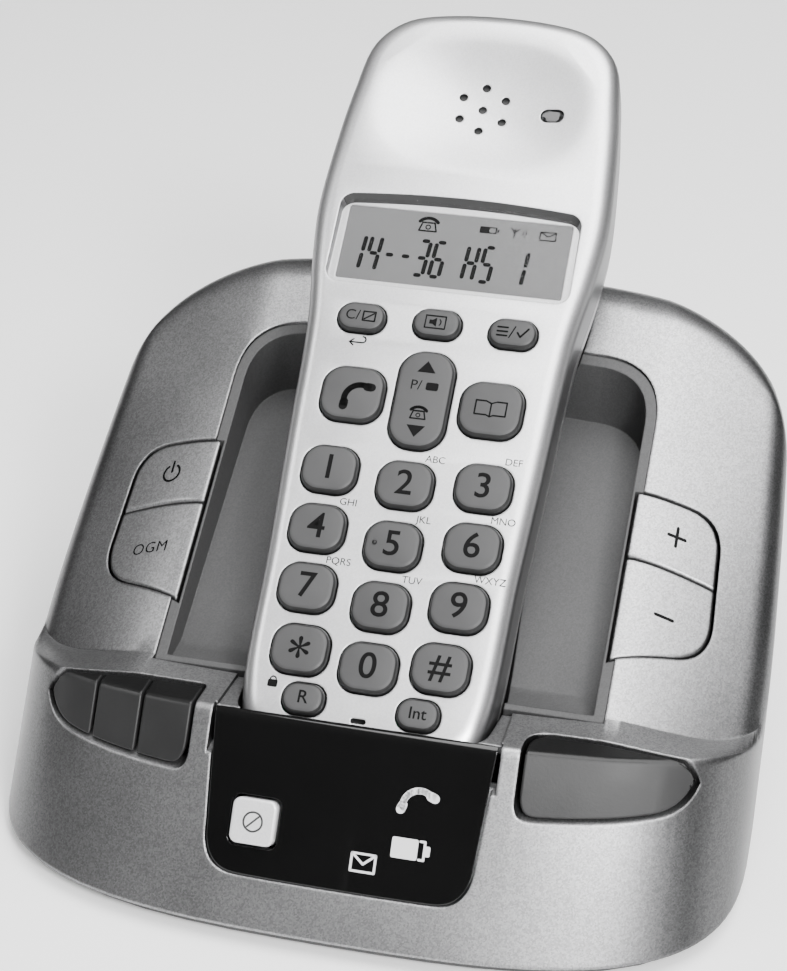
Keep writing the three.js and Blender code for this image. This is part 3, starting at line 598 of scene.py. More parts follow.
def bend(p):
    """Carries a point of the straight extruded profile to the base's rounded form."""
    x = abs(p.x)
    u = x / BASE_HALF_WIDTH
    front_share = lerp(1, RIDGE_SHARE, clamp01((p.y - BASE_FRONT) / (RIDGE_Y - BASE_FRONT)))
    if p.y > RIDGE_Y:
        front_share = lerp(RIDGE_SHARE, CREASE_SHARE, clamp01((p.y - RIDGE_Y) / (CREASE_Y - RIDGE_Y)))
    if p.y > CREASE_Y:
        front_share = CREASE_SHARE * clamp01((CORNER_FRONT_END - p.y) / (CORNER_FRONT_END - CREASE_Y))
    back_share = clamp01((p.y - CORNER_BACK_START) / (BASE_BACK - CORNER_BACK_START))
    front_shift = CORNER_FRONT * corner_round(u, CORNER_FRONT_POWER) + FRONT_BOW * (x / REACH) ** 2
    y = p.y + front_shift * front_share - CORNER_BACK * corner_round(u, CORNER_BACK_POWER) * back_share
    outward = clamp01((x - RECESS_HALF_WIDTH) / (BASE_HALF_WIDTH - RECESS_HALF_WIDTH))
    edge = clamp01((x - BASE_HALF_WIDTH + EDGE_WIDTH) / EDGE_WIDTH)
    edge_fall = EDGE_DROP * (1 - math.sqrt(1 - edge * edge))
    arch_fall = (ARCH_FALL - ARCH_FALL_SLOPE * y) * outward**ARCH_FALL_POWER
    fall = arch_fall + edge_fall - ARCH_SLOPE * (y - p.y)
    if p.y < CREASE_Y - 1:
        fall = LEDGE_FALL * outward**4 - LEDGE_SLOPE * (y - p.y)
    height = clamp01((p.z - SKIRT_HEIGHT) / FALL_HEIGHT)
    taper = 1 - SIDE_TAPER * clamp01(y / REACH) ** 1.5
    return Vector((p.x * taper, y, p.z - fall * height))


def make_body():
    steps = 72
    shape = turned(prism(side_profile(), 0, 1, steps), CROSSWISE)
    for v in shape.verts:
        along = math.sin((v.co.x - 0.5) * math.pi) * BASE_HALF_WIDTH
        v.co = bend(Vector((along, v.co.y, v.co.z)))
    bmesh.ops.recalc_face_normals(shape, faces=shape.faces)
    return shape


body_form = make_body()
body_tree = BVHTree.FromBMesh(body_form)
FACE_LEAN = math.atan2(ledge_z(RIDGE_Y) - SKIRT_HEIGHT, RIDGE_Y - BASE_FRONT)
BODY_MID = (BASE_BACK + BASE_FRONT) / 2


def body_moved(offset=(0, 0, 0), share=(1, 1, 1)):
    """A copy of the base's outer form, moved, and drawn in towards its middle."""
    shape = body_form.copy()
    bmesh.ops.translate(shape, vec=(0, -BODY_MID, 0), verts=shape.verts)
    bmesh.ops.scale(shape, vec=share, verts=shape.verts)
    bmesh.ops.translate(shape, vec=(0, BODY_MID, 0), verts=shape.verts)
    bmesh.ops.translate(shape, vec=offset, verts=shape.verts)
    return shape


def inward(depth):
    return (0, depth * math.sin(FACE_LEAN), -depth * math.cos(FACE_LEAN))


def skin(cutter, depth):
    return cut(common(body_moved(), cutter), body_moved(inward(depth)))


def recess_outline(inset):
    w = RECESS_HALF_WIDTH - inset
    back = RECESS_BACK - inset
    r = RECESS_CORNER - inset
    points = [(-w, CREASE_Y + inset), (w, CREASE_Y + inset), (w, back - r - 2)]
    points += bezier(points[-1], (w, back - 1), (w - r - 2, back - 1), 12)
    points += bezier(points[-1], (0, back + 1), (-w + r + 2, back - 1), 8)
    return points + bezier(points[-1], (-w, back - 1), (-w, back - r - 2), 12)


def panel_outline(grow):
    top = ledge_z(RIDGE_Y) + 6
    bottom = PANEL_BOTTOM - grow
    w_top = PANEL_HALF_TOP + grow
    w_low = PANEL_HALF_BOTTOM + grow
    r = PANEL_CORNER
    points = [(-w_top, top), (-w_low, bottom + r)]
    points += bezier(points[-1], (-w_low, bottom), (-w_low + r, bottom), 10)
    points.append((w_low - r, bottom))
    points += bezier(points[-1], (w_low, bottom), (w_low, bottom + r), 10)
    return points + [(w_top, top)]


def front_key_cutter(side, grow):
    k = FRONT_KEYS
    x0, x1 = k["inner"] - grow, k["outer"] + grow
    z0, z1 = k["bottom"] - grow, 60
    points = [(x0, z1), (x0, z0 + k["small"])]
    points += bezier(points[-1], (x0, z0), (x0 + k["small"], z0), 6)
    points.append((x1 - k["corner"], z0))
    points += bezier(points[-1], (x1, z0), (x1, z0 + k["corner"]), 10)
    points.append((x1, z1))
    front = upright(points, BASE_FRONT - 5, 0)
    back = k["back"] + grow
    near, far = (4 + grow, 2.2 + grow) if side > 0 else (0.8 + grow, 3.2 + grow)
    plan = [(x0, AHEAD), (x1, AHEAD), (x1, back - far)]
    plan += bezier(plan[-1], (x1, back), (x1 - far, back), 8) + [(x0 + near, back)]
    plan += bezier(plan[-1], (x0, back), (x0, back - near), 8)
    front = common(front, prism(plan, -5, 80))
    return front if side > 0 else mirrored(front)


def side_key_cutter(side, grow):
    k = SIDE_KEYS
    r = SIDE_KEY_CORNER
    points = [(k["inner"] - grow, k["low"] - grow), (k["outer"] - r, k["low_outer"] - grow - 2)]
    corner = (k["outer"] + grow, k["low_outer"] - grow)
    points += bezier(points[-1], corner, (k["outer"] + grow, k["low_outer"] + r), 8)
    points.append((k["outer"] - 0.6 + grow, k["high"] - r))
    corner = (k["outer"] - 0.8 + grow, k["high"] + grow)
    points += bezier(points[-1], corner, (k["outer"] - r - 1, k["high"] + grow), 8)
    points.append((k["inner"] - grow, k["high"] + grow))
    shape = prism(points, SKIRT_HEIGHT, ABOVE)
    return shape if side > 0 else mirrored(shape)


# ------------------------------------------------------------ handset: form
def smooth_loop(points, count):
    """A closed centripetal curve through the points."""
    out = []
    n = len(points)
    for i in range(count):
        place = n * i / count
        k, t = int(place), place - int(place)
        p = [Vector(points[(k + j) % n]) for j in (-1, 0, 1, 2)]
        gaps = [max((p[j + 1] - p[j]).length ** 0.5, 1e-4) for j in range(3)]
        near = [(p[j + 1] - p[j]) / gaps[j] for j in range(3)]
        over = [(p[j + 2] - p[j]) / (gaps[j] + gaps[j + 1]) for j in range(2)]
        a, b = ((near[j] - over[j] + near[j + 1]) * gaps[1] for j in range(2))
        d = p[1] - p[2]
        out.append(p[1] + a * t + (-3 * p[1] + 3 * p[2] - 2 * a - b) * t**2 + (2 * d + a + b) * t**3)
    return [(v.x, v.y) for v in out]


def handset_form(grow, edge=HANDSET_EDGE):
    """The handset's outer form, grown by a clearance or shrunk by a wall."""
    middle = (HANDSET_TOP + HANDSET_BOTTOM) / 2
    half_length = (HANDSET_TOP - HANDSET_BOTTOM) / 2
    wide = (HANDSET_HALF_WIDTH + grow) / HANDSET_HALF_WIDTH
    long = 1 + grow / half_length
    half = [(x * wide, middle + (y - middle) * long) for x, y in HANDSET_OUTLINE]
    outline = smooth_loop(half + [(-x, y) for x, y in reversed(half)], 144)
    drop = HANDSET_DEPTH + PARTING + grow
    levels = []
    for i in range(13):
        angle = math.radians(90 - 7.5 * i)
        levels.append((PARTING - drop * math.sin(angle), HANDSET_TUCK * (1 - math.cos(angle))))
    for i in range(9):
        angle = math.radians(11.25 * i)
        levels.append((grow - edge + edge * math.sin(angle), edge * (1 - math.cos(angle))))
    shape = prism(outline, 0, 1, len(levels) - 1)
    for v in shape.verts:
        height, inset = levels[round(v.co.z * (len(levels) - 1))]
        v.co.x *= 1 - inset / HANDSET_HALF_WIDTH
        v.co.y = middle + (v.co.y - middle) * (1 - inset / half_length)
        v.co.z = height
    return shape


def cradle_space(extra=0):
    return turned(handset_form(CRADLE_CLEARANCE + extra), LEANED)


# ------------------------------------------------------------- base: pieces
page_low, page_high = local_box("page_key", BASE_FRAME)
page_x = (page_low.x + page_high.x) / 2
PAGE_SIZE = page_high.x - page_low.x
PAGE_Z = 17.4
PAGE_FRAME = Matrix.Translation(
    (page_x, RIDGE_Y - (ledge_z(RIDGE_Y) - PAGE_Z) / math.tan(FACE_LEAN), PAGE_Z)
) @ Matrix.Rotation(FACE_LEAN, 4, "X")


def page_block(grow, low, high):
    size = PAGE_SIZE + 2 * grow
    return turned(prism(rounded(size, size, PAGE_KEY_CORNER), low, high), PAGE_FRAME)


def make_cover():
    share = [1 - COVER_WALL / BASE_HALF_WIDTH, 1 - 2 * COVER_WALL / (BASE_BACK - BASE_FRONT), 1]
    shape = common(body_moved(), block(-ASIDE, ASIDE, AHEAD, BEHIND, SKIRT_HEIGHT, ABOVE))
    shape = cut(shape, body_moved((0, 0, -COVER_WALL), share))
    start, end, top = RECESS_BACK - 1, BASE_BACK - 4, arch_z(RECESS_BACK)
    saddle_edge = [(start, top - 9), (end, top - 3), (end, 80), (start, 80)]
    shape = joined(shape, common(body_moved(), crosswise(saddle_edge, HANDSET_HALF_WIDTH + 4)))
    shape = cut(shape, prism(recess_outline(0), SKIRT_HEIGHT, ABOVE))
    panel_room = upright(panel_outline(SEAM), AHEAD, CREASE_Y + 0.6)
    shape = cut(shape, cut(panel_room, body_moved(inward(PANEL_THICK + SEAM))))
    for side in (-1, 1):
        shape = cut(shape, front_key_cutter(side, KEY_GAP + PRESS_ROOM), side_key_cutter(side, KEY_GAP))
    shape = cut(shape, page_block(KEY_GAP, -THROUGH, THROUGH), cradle_space())
    shape = cut(shape, block(-PANEL_HALF_TOP, PANEL_HALF_TOP, BASE_FRONT, RIDGE_Y + 2.2, 25, 60))
    for name in ("line_socket", "power_socket"):
        low, high = local_box(name, BASE_FRAME)
        shape = cut(shape, block(low.x - SEAM, high.x + SEAM, 40, BEHIND, low.z - SEAM, high.z + SEAM))
    make_piece("base_cover_shell", shape, BASE_FRAME, silver, "base", ["base_cover"])


def make_liner():
    front = CREASE_Y

    def surface(down):
        return [
            (front, ledge_z(front) - down),
            (RECESS_FLOOR_BACK, RECESS_FLOOR_Z - down),
            (RECESS_BACK + 4, recess_z(RECESS_BACK + 4) - down),
        ]

    under = crosswise(surface(LINER_WALL) + [(80, arch_z(80) - 0.4), (front, arch_z(front) - 0.4)], 60)
    bowl = common(prism(recess_outline(0.06), SKIRT_HEIGHT, ABOVE), under)
    hollow = surface(0) + [(RECESS_BACK + 4, 120), (front, 120)]
    bowl = cut(bowl, common(prism(recess_outline(LINER_WALL), SKIRT_HEIGHT, ABOVE), crosswise(hollow, 60)))
    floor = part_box("base_tray")[1].z / MM + 0.4
    well_side = [(-60, floor), (RECESS_BACK - 3, 5)] + surface(0)[::-1] + [(-60, 28)]
    well = common(cradle_space(LINER_WALL), crosswise(well_side, 60))
    inside = joined(
        prism(recess_outline(SEAM), SKIRT_HEIGHT, ABOVE),
        block(-RECESS_HALF_WIDTH, RECESS_HALF_WIDTH, -60, CREASE_Y + 2, 3, 26),
    )
    well = common(well, inside)
    front_part = common(joined(bowl.copy(), well), body_moved(inward(COVER_WALL + 1.6)))
    shape = joined(front_part, common(bowl, block(-ASIDE, ASIDE, CREASE_Y + 1, BEHIND, 0, 99)))
    for side in (-1, 1):
        pocket = common(side_key_cutter(side, KEY_GAP), body_moved())
        shape = cut(shape, cut(pocket, body_moved((0, 0, -SIDE_KEY_DEPTH - 1.4))))
    shape = cut(shape, cradle_space())
    make_piece("cradle_recess", shape, BASE_FRAME, recess_painted_shade, "base", ["cradle_liner"])


def make_panel():
    shape = skin(upright(panel_outline(0), AHEAD, RIDGE_Y + 1), PANEL_THICK)
    shape = cut(shape, page_block(KEY_GAP, -THROUGH, THROUGH), cradle_space())
    make_piece("panel_face", shape, BASE_FRAME, panel_black, "base", ["display_panel"])
    make_piece(
        "page_key_cap", page_block(0, -4, PAGE_KEY_TOP), BASE_FRAME, page_paint, "page_key",
        ["page_key"], bevel=0.5, segments=3, flat=1,
    )  # fmt: skip


def make_front_keys():
    inner, outer = FRONT_KEYS["inner"], FRONT_KEYS["outer"]
    cuts = [inner, *FRONT_KEY_SPLITS, outer]
    half = KEY_GAP / 2
    rows = [("play_key", 1, inner, outer, [wide_key, front_key_top_painted_shade], "grey_key")]
    for i, name in enumerate(["front_key_inner", "front_key_middle", "front_key_outer"]):
        low = cuts[i] + (half if i else 0)
        high = cuts[i + 1] - (half if i < 2 else 0)
        rows.append((name, -1, low, high, [dark_key, front_key_top_painted_shade], "dark_key"))
    for name, side, low, high, materials, slot in rows:
        slab = block(*sorted((side * low, side * high)), -80, 20, 0, 60)
        shape = skin(common(front_key_cutter(side, 0), slab), FRONT_KEY_DEPTH)
        bmesh.ops.translate(shape, vec=(0, 0.1, -0.2), verts=shape.verts)
        # Painted shade: faces that look up, the top facet over the ridge, take a darker copy of the key
        # plastic.
        for face in shape.faces:
            face.material_index = 1 if face.normal.z > 0.85 else 0
        make_piece(
            name + "_cap", shape, BASE_FRAME, materials, name, [name], bevel=0.45, segments=3, flat=3
        )  # fmt: skip


def make_side_keys():
    split, high, low = SIDE_KEYS["split"], SIDE_KEYS["high"], SIDE_KEYS["low"] - 1
    half = KEY_GAP / 2
    for name, side, start, end in (
        ("power_key", -1, split + half, high),
        ("greeting_key", -1, low, split - half),
        ("volume_up_key", 1, split + half, high),
        ("volume_down_key", 1, low, split - half),
    ):
        slab = block(-ASIDE, ASIDE, start, end, 0, ABOVE)
        outer = common(common(body_moved(), side_key_cutter(side, 0)), slab)
        shape = cut(outer, body_moved((0, 0, -SIDE_KEY_DEPTH)))
        make_piece(
            name + "_cap", shape, BASE_FRAME, silver, name, [name],
            bevel=0.4, segments=3, flat=1,
        )  # fmt: skip


# ---------------------------------------------------------- handset: pieces
KEY_NAMES = [
    "key_soft_left", "key_soft_middle", "key_soft_right", "key_call", "key_rocker", "key_phonebook",
    "key_1", "key_2", "key_3", "key_4", "key_5", "key_6", "key_7", "key_8", "key_9",
    "key_star", "key_0", "key_hash", "key_recall", "key_intercom",
]  # fmt: skip
KEY_CORNERS = {
    "key_call": 3.6, "key_phonebook": 3.6, "key_rocker": 4.2, "key_recall": 2.4, "key_intercom": 2.4,
}  # fmt: skip


def key_size(name):
    """Centre, width, height, corner radius and top of a handset key, in the handset's frame."""
    low, high = local_box(name, HANDSET_FRAME)
    width = high.x - low.x - 2 * KEY_FLANGE
    height = high.y - low.y - 2 * KEY_FLANGE
    corner = KEY_CORNERS.get(name, 2.6 if "soft" in name else 3.3)
    return (low.x + high.x) / 2, (low.y + high.y) / 2, width, height, corner, high.z


def make_handset_keys():
    for name in KEY_NAMES:
        x, y, width, height, corner, top = key_size(name)
        shape = bmesh.new()
        # Heights and insets of the cap's rings, from its foot to its slightly crowned top.
        rings = [(-2.4, 0.0), (top - 1.0, 0.0), (top - 0.5, 0.12), (top - 0.15, 0.42), (top - 0.02, 0.95)]
        foot = [shape.verts.new((px, py, rings[0][0])) for px, py in rounded(width, height, corner, x, y)]
        face = [shape.faces.new(foot)]
        for (low, before), (high, inset) in zip(rings, rings[1:]):
            face = extrude(shape, face, (0, 0, high - low))
            for v in face[0].verts:
                v.co.x = x + (v.co.x - x) * (width / 2 - inset) / (width / 2 - before)
                v.co.y = y + (v.co.y - y) * (height / 2 - inset) / (height / 2 - before)
        crown = bmesh.ops.poke(shape, faces=face)
        crown["verts"][0].co.z = top
        bmesh.ops.recalc_face_normals(shape, faces=shape.faces)
        # Painted shade: the cap's sides take a darker copy of the rubber, and the top keeps the lit tone.
        for f in shape.faces:
            f.material_index = 0 if f.normal.z > 0.9 else 1
        make_piece(
            name + "_cap", shape, HANDSET_FRAME, [key_top, key_side_painted_shade], name,
            [name], sharp=50,
        )  # fmt: skip


lens_low, lens_high = local_box("display_lens", HANDSET_FRAME)
DISPLAY_WIDTH = lens_high.x - lens_low.x
DISPLAY_HEIGHT = lens_high.y - lens_low.y
DISPLAY_Y = (lens_low.y + lens_high.y) / 2
lamp_low, lamp_high = local_box("lamp_window", HANDSET_FRAME)
LAMP_X, LAMP_Y = (lamp_low.x + lamp_high.x) / 2, (lamp_low.y + lamp_high.y) / 2


def lamp_outline(grow, corner):
    width, height = lamp_high.x - lamp_low.x + 2 * grow, lamp_high.y - lamp_low.y + 2 * grow
    return rounded(width, height, corner, LAMP_X, LAMP_Y)


def window_outline(inset):
    """The display window's opening: rounded corners and a top edge that bows upwards."""
    x = DISPLAY_WIDTH / 2 + WINDOW_MARGIN["side"] - inset
    low = DISPLAY_Y - DISPLAY_HEIGHT / 2 - WINDOW_MARGIN["bottom"] + inset
    high = DISPLAY_Y + DISPLAY_HEIGHT / 2 + WINDOW_MARGIN["top"] - WINDOW_BOW - inset
    r = 2.6 - inset
    points = arc(x - r, low + r, r, -90, 0, 8) + arc(x - r, high - r, r, 0, 78, 8)
    points += bezier(points[-1], (0, high + 2 * WINDOW_BOW), (-points[-1][0], points[-1][1]), 18)[:-1]
    return points + arc(-x + r, high - r, r, 102, 180, 8) + arc(-x + r, low + r, r, 180, 270, 8)


def window_cutter():
    """The opening: straight walls at the bottom and a long sloped wall at the top."""
    levels = [-THROUGH, -WINDOW_DEPTH, 0.4, THROUGH]
    shape = prism(window_outline(0), 0, 3, 3)
    half = DISPLAY_HEIGHT / 2 + WINDOW_MARGIN["top"]
    for v in shape.verts:
        v.co.z = levels[round(v.co.z)]
        if v.co.z < 0:
            upper = clamp01((v.co.y - DISPLAY_Y) / half)
            v.co.y -= WINDOW_SHOULDER * upper
            v.co.x *= 1 - 0.012 * (1 + upper)
    return shape


def dish_surface(reach):
    """The dish's height, where reach goes from 0 in the middle to 1 at the rim."""
    return -DISH["depth"] * (1 - reach) ** DISH_POWER


def dish_cutter():
    """A shallow dish with a soft rim: a turned profile drawn out to a rounded oblong."""
    shape = bmesh.new()
    rings, sides = 14, 72
    profile = [(i / rings, dish_surface((i / rings) ** 2)) for i in range(rings)]
    points = profile + [(1.0, 0.004), (1.0, 3), (0, 3)]
    chain = [shape.verts.new((r, 0, z)) for r, z in points]
    edges = [shape.edges.new(pair) for pair in zip(chain, chain[1:])]
    bmesh.ops.spin(
        shape, geom=chain + edges, cent=(0, 0, 0), axis=(0, 0, 1), angle=math.tau, steps=sides, use_merge=True
    )
    bmesh.ops.remove_doubles(shape, verts=shape.verts, dist=1e-4)
    for v in shape.verts:
        angle = math.atan2(v.co.y, v.co.x)
        reach = (abs(math.cos(angle)) ** 2.5 + abs(math.sin(angle)) ** 2.5) ** (-1 / 2.5)
        v.co.x *= reach * DISH["half_width"]
        v.co.y = DISH["y"] + v.co.y * reach * DISH["half_height"]
    bmesh.ops.recalc_face_normals(shape, faces=shape.faces)
    return shape


def handset_between(low, high, form):
    """The part of a handset form between two heights; the block is wider and longer than the form."""
    return common(form, block(-60, 60, -80, 140, low, high))


def make_front_shell():
    shape = handset_between(PARTING, 20, handset_form(0))
    shape = cut(shape, handset_between(-30, -HANDSET_WALL, handset_form(-HANDSET_WALL, INSIDE_EDGE)))
    shape = cut(shape, dish_cutter(), window_cutter())
    grow = HANDSET_KEY_GAP
    for name in KEY_NAMES:
        x, y, width, height, corner, _ = key_size(name)
        shape = cut(shape, hole(rounded(width + 2 * grow, height + 2 * grow, corner + grow, x, y)))
    shape = cut(shape, hole(lamp_outline(0.2, 1.3)))
    for x, y in [(0, 0)] + arc(0, 0, SOUND_HOLE["ring"], 90, 390, SOUND_HOLE["count"] - 1):
        shape = cut(shape, hole(arc(x, EARPIECE_Y + y, SOUND_HOLE["radius"], 0, 342, 19)))
    slot = MICROPHONE_SLOT
    shape = cut(shape, hole(rounded(slot["width"], slot["height"], slot["corner"], 0, slot["y"])))
    upper_edge = DISPLAY_Y + DISPLAY_HEIGHT / 2
    # Painted shade: the upper wall of the display opening takes the near-black material, where it lies in
    # shadow.
    for face in shape.faces:
        centre = face.calc_center_median()
        in_shaded_wall = -WINDOW_DEPTH - 0.5 < centre.z < -0.05 and upper_edge < centre.y < upper_edge + 4
        face.material_index = 1 if in_shaded_wall and abs(centre.x) < DISPLAY_WIDTH / 2 + 2 else 0
    make_piece(
        "handset_face_shell", shape, HANDSET_FRAME, [handset_silver, window_wall_painted_shade], "handset",
        ["handset_front_shell"],
    )  # fmt: skip


def make_back_shell():
    shape = handset_between(-40, PARTING - SEAM, handset_form(0))
    shape = cut(shape, handset_form(-HANDSET_WALL, INSIDE_EDGE))
    low, high = local_box("battery_door", HANDSET_FRAME)
    thumb_room = 3
    width, height = high.x - low.x + 2 * SEAM, high.y - low.y + 2 * SEAM + thumb_room
    opening = rounded(width, height, 3, 0, (low.y + high.y - thumb_room) / 2)
    shape = cut(shape, prism(opening, -HANDSET_DEPTH - 2, -HANDSET_DEPTH + HANDSET_WALL + 1))
    for name in ("charge_pad_left", "charge_pad_right"):
        low, high = local_box(name, HANDSET_FRAME)
        slot = block(low.x - SEAM, high.x + SEAM, -60, HANDSET_BOTTOM + 6, low.z - SEAM, high.z + SEAM)
        shape = cut(shape, slot)
    make_piece(
        "handset_back_half", shape, HANDSET_FRAME, back_silver, "handset",
        ["handset_back_shell"],
    )  # fmt: skip


def make_door():
    low, high = local_box("battery_door", HANDSET_FRAME)
    shape = prism(rounded(high.x - low.x, high.y - low.y, 3, 0, (low.y + high.y) / 2), low.z, high.z)
    for i in range(5):
        y = low.y + 5 + 1.7 * i
        shape = cut(shape, prism(rounded(12 - i, 0.8, 0.35, 0, y), low.z - 1, low.z + 0.4))
    make_piece(
        "battery_door_cover", shape, HANDSET_FRAME, back_silver, "battery_door",
        ["battery_door"], bevel=0.2,
    )  # fmt: skip


def make_window():
    pane = prism(window_outline(0.75), -1.0, -0.72)
    bmesh.ops.translate(pane, vec=(0, -WINDOW_SHOULDER / 4, 0), verts=pane.verts)
    bezel = cut(
        prism(window_outline(-0.6), -WINDOW_DEPTH - 0.7, -WINDOW_DEPTH),
        prism(rounded(DISPLAY_WIDTH, DISPLAY_HEIGHT, 0.4, 0, DISPLAY_Y, 3), -9, 9),
    )
    glass = prism(rounded(DISPLAY_WIDTH - 0.04, DISPLAY_HEIGHT - 0.04, 0.4, 0, DISPLAY_Y, 3), -3, DISPLAY_TOP)
    for name, shape, material, slot, replaced, edge in (
        ("display_window", pane, window_clear, "display_window", ["display_lens"], 0.1),
        ("display_bezel", bezel, bezel_silver, "light_silver_paint", [], 0.08),
        ("display_glass", glass, glass_grey, "display_glass", ["display_module"], 0.05),
    ):
        make_piece(name, shape, HANDSET_FRAME, material, "handset", replaced, bevel=edge)


# ------------------------------------------------------------------- prints
FINE_LETTERING = 2.0  # capitals up to this height are printed without extra weight
PRINT_LIFT = 0.03  # how far print lies over its surface
STAR_DROP = 1.6  # an asterisk sits high in its line


def stroke(shape, points, width, closed=False):
    """A flat line of even width through points, with round joints."""
    ends = points[1:] + (points[:1] if closed else [])
    for a, b in zip(map(Vector, points), map(Vector, ends)):
        side = (b - a).normalized().orthogonal() * width / 2
        corners = [a + side, a - side, b - side, b + side]
        shape.faces.new([shape.verts.new((p.x, p.y, 0)) for p in corners])
    for x, y in points:
        spot = Matrix.Translation((x, y, 0))
        bmesh.ops.create_circle(shape, cap_ends=True, segments=10, radius=width / 2, matrix=spot)


def filled(shape, points):
    shape.faces.new([shape.verts.new((x, y, 0)) for x, y in points])


def moved(points, x, y, scale=1, turn=0):
    turn = math.radians(turn)
    c, s = math.cos(turn) * scale, math.sin(turn) * scale
    return [(x + px * c - py * s, y + px * s + py * c) for px, py in points]


def written(shape, text, x, y, size, spread=1.0):
    """Adds a line of lettering, centred on a point; size is the height of a capital."""
    curve = bpy.data.curves.new("lettering", "FONT")
    curve.body = text
    curve.size = size / 0.73
    curve.align_x = "CENTER"
    curve.align_y = "CENTER"
    curve.space_character = spread
    if size > FINE_LETTERING:
        curve.offset = size * 0.012
    holder = in_scene("lettering", curve)
    bpy.context.view_layer.update()
    mesh = bpy.data.meshes.new_from_object(holder.evaluated_get(bpy.context.evaluated_depsgraph_get()))
    mesh.transform(Matrix.Translation((x, y, 0)))
    shape.from_mesh(mesh)
    bpy.data.objects.remove(holder)
    bpy.data.curves.remove(curve)
    bpy.data.meshes.remove(mesh)


def face_up(shape):
    for face in shape.faces:
        face.normal_update()
        if face.normal.z < 0:
            face.normal_flip()


def print_piece(name, shape, matrix, height, material, body):
    """Finishes flat print at a height over its surface."""
    face_up(shape)
    bmesh.ops.translate(shape, vec=(0, 0, height), verts=shape.verts)
    return make_piece(name, shape, matrix, material, body)


def handset_symbol(shape, x, y, scale, turn=0):
    """A telephone handset: a bowed grip with an ear and a mouth piece."""
    stroke(shape, moved(arc(0, -1.6, 2.4, 150, 30, 10), x, y, scale, turn), 0.95 * scale)
    for side in (-1, 1):
        end = [(side * 2.1, -0.55), (side * 2.6, -1.05)]
        stroke(shape, moved(end, x, y, scale, turn), 1.35 * scale)


def desk_phone_symbol(shape, x, y, scale):
    stroke(shape, moved(arc(0, -1.0, 2.3, 140, 40, 8), x, y, scale), 0.7 * scale)
    outline = [(-1.7, -1.5), (1.7, -1.5), (1.2, 0.3), (-1.2, 0.3)]
    stroke(shape, moved(outline, x, y, scale), 0.35 * scale, closed=True)
    stroke(shape, moved(arc(0, -0.65, 0.45, 0, 324, 9), x, y, scale), 0.25 * scale, closed=True)


def envelope_symbol(shape, x, y, width, height, line):
    w, h = width / 2, height / 2
    stroke(shape, rect(x - w, y - h, x + w, y + h), line, closed=True)
    stroke(shape, [(x - w, y + h), (x, y - h * 0.15), (x + w, y + h)], line)


def book_symbol(shape, x, y, scale):
    page = [(0, -1.5), (0.6, -1.2), (2.6, -1.2), (2.6, 1.3), (0.9, 1.3), (0, 0.9)]
    for side in (-1, 1):
        points = [(px * side, py) for px, py in page]
        stroke(shape, moved(points, x, y, scale), 0.28 * scale, closed=True)


def triangle(shape, x, y, size, up=True):
    tip = size if up else -size
    filled(shape, [(x - size * 0.75, y - tip / 2), (x + size * 0.75, y - tip / 2), (x, y + tip / 2)])


SEGMENT_SHAPES = {
    "1": "bc", "2": "abged", "3": "abgcd", "4": "fgbc", "6": "afgedc", "H": "fgbce", "S": "afgcd", "-": "g",
}  # fmt: skip


def segment_digit(shape, sign, x, y, width, height, line):
    """A seven segment character with its lower left corner at a point."""
    w, h, m = width, height, height / 2
    gap = line * 0.75
    lines = {
        "a": ((gap, h), (w - gap, h)),
        "b": ((w, m + gap), (w, h - gap)),
        "c": ((w, gap), (w, m - gap)),
        "d": ((gap, 0), (w - gap, 0)),
        "e": ((0, gap), (0, m - gap)),
        "f": ((0, m + gap), (0, h - gap)),
        "g": ((gap, m), (w - gap, m)),
    }
    for key in SEGMENT_SHAPES.get(sign, ""):
        stroke(shape, [(x + px + 0.07 * py, y + py) for px, py in lines[key]], line)


def make_lamp():
    reach = (LAMP_X / DISH["half_width"]) ** 2 + ((LAMP_Y - DISH["y"]) / DISH["half_height"]) ** 2
    shape = prism(lamp_outline(0, 1.0), lamp_low.z, dish_surface(reach) - 0.15)
    make_piece(
        "lamp_lens", shape, HANDSET_FRAME, lamp_plastic, "handset", ["lamp_window"],
        bevel=0.35, segments=3,
    )  # fmt: skip


def make_display_prints():
    shape = bmesh.new()
    left = -DISPLAY_WIDTH / 2 + 1.9
    base = DISPLAY_Y - DISPLAY_HEIGHT / 2 + 2.1
    for i, sign in enumerate("14--36 HS 1"):
        segment_digit(shape, sign, left + 3.0 * i, base, 1.85, 7.0, 0.78)
    top = DISPLAY_Y + DISPLAY_HEIGHT / 2 - 2.4
    desk_phone_symbol(shape, -5.6, top, 0.95)
    stroke(shape, rect(4.0, top - 0.55, 6.9, top + 0.55), 0.26, closed=True)
    filled(shape, rect(4.0, top - 0.5, 5.7, top + 0.5))
    stroke(shape, [(7.3, top - 0.25), (7.3, top + 0.25)], 0.3)
    stroke(shape, [(10.3, top - 1.0), (10.3, top + 0.7)], 0.3)
    stroke(shape, [(9.5, top + 0.9), (10.3, top), (11.1, top + 0.9)], 0.26)
    for reach in (0.7, 1.25):
        stroke(shape, arc(11.2, top + 0.1, reach, -40, 40, 5), 0.2)
    envelope_symbol(shape, 16.4, top - 0.1, 2.9, 1.7, 0.28)
    print_piece("display_signs", shape, HANDSET_FRAME, DISPLAY_TOP + PRINT_LIFT, ink, "handset")


KEY_LETTERS = {
    "key_2": "ABC", "key_3": "DEF", "key_4": "GHI", "key_5": "JKL",
    "key_6": "MNO", "key_7": "PQRS", "key_8": "TUV", "key_9": "WXYZ",
}  # fmt: skip


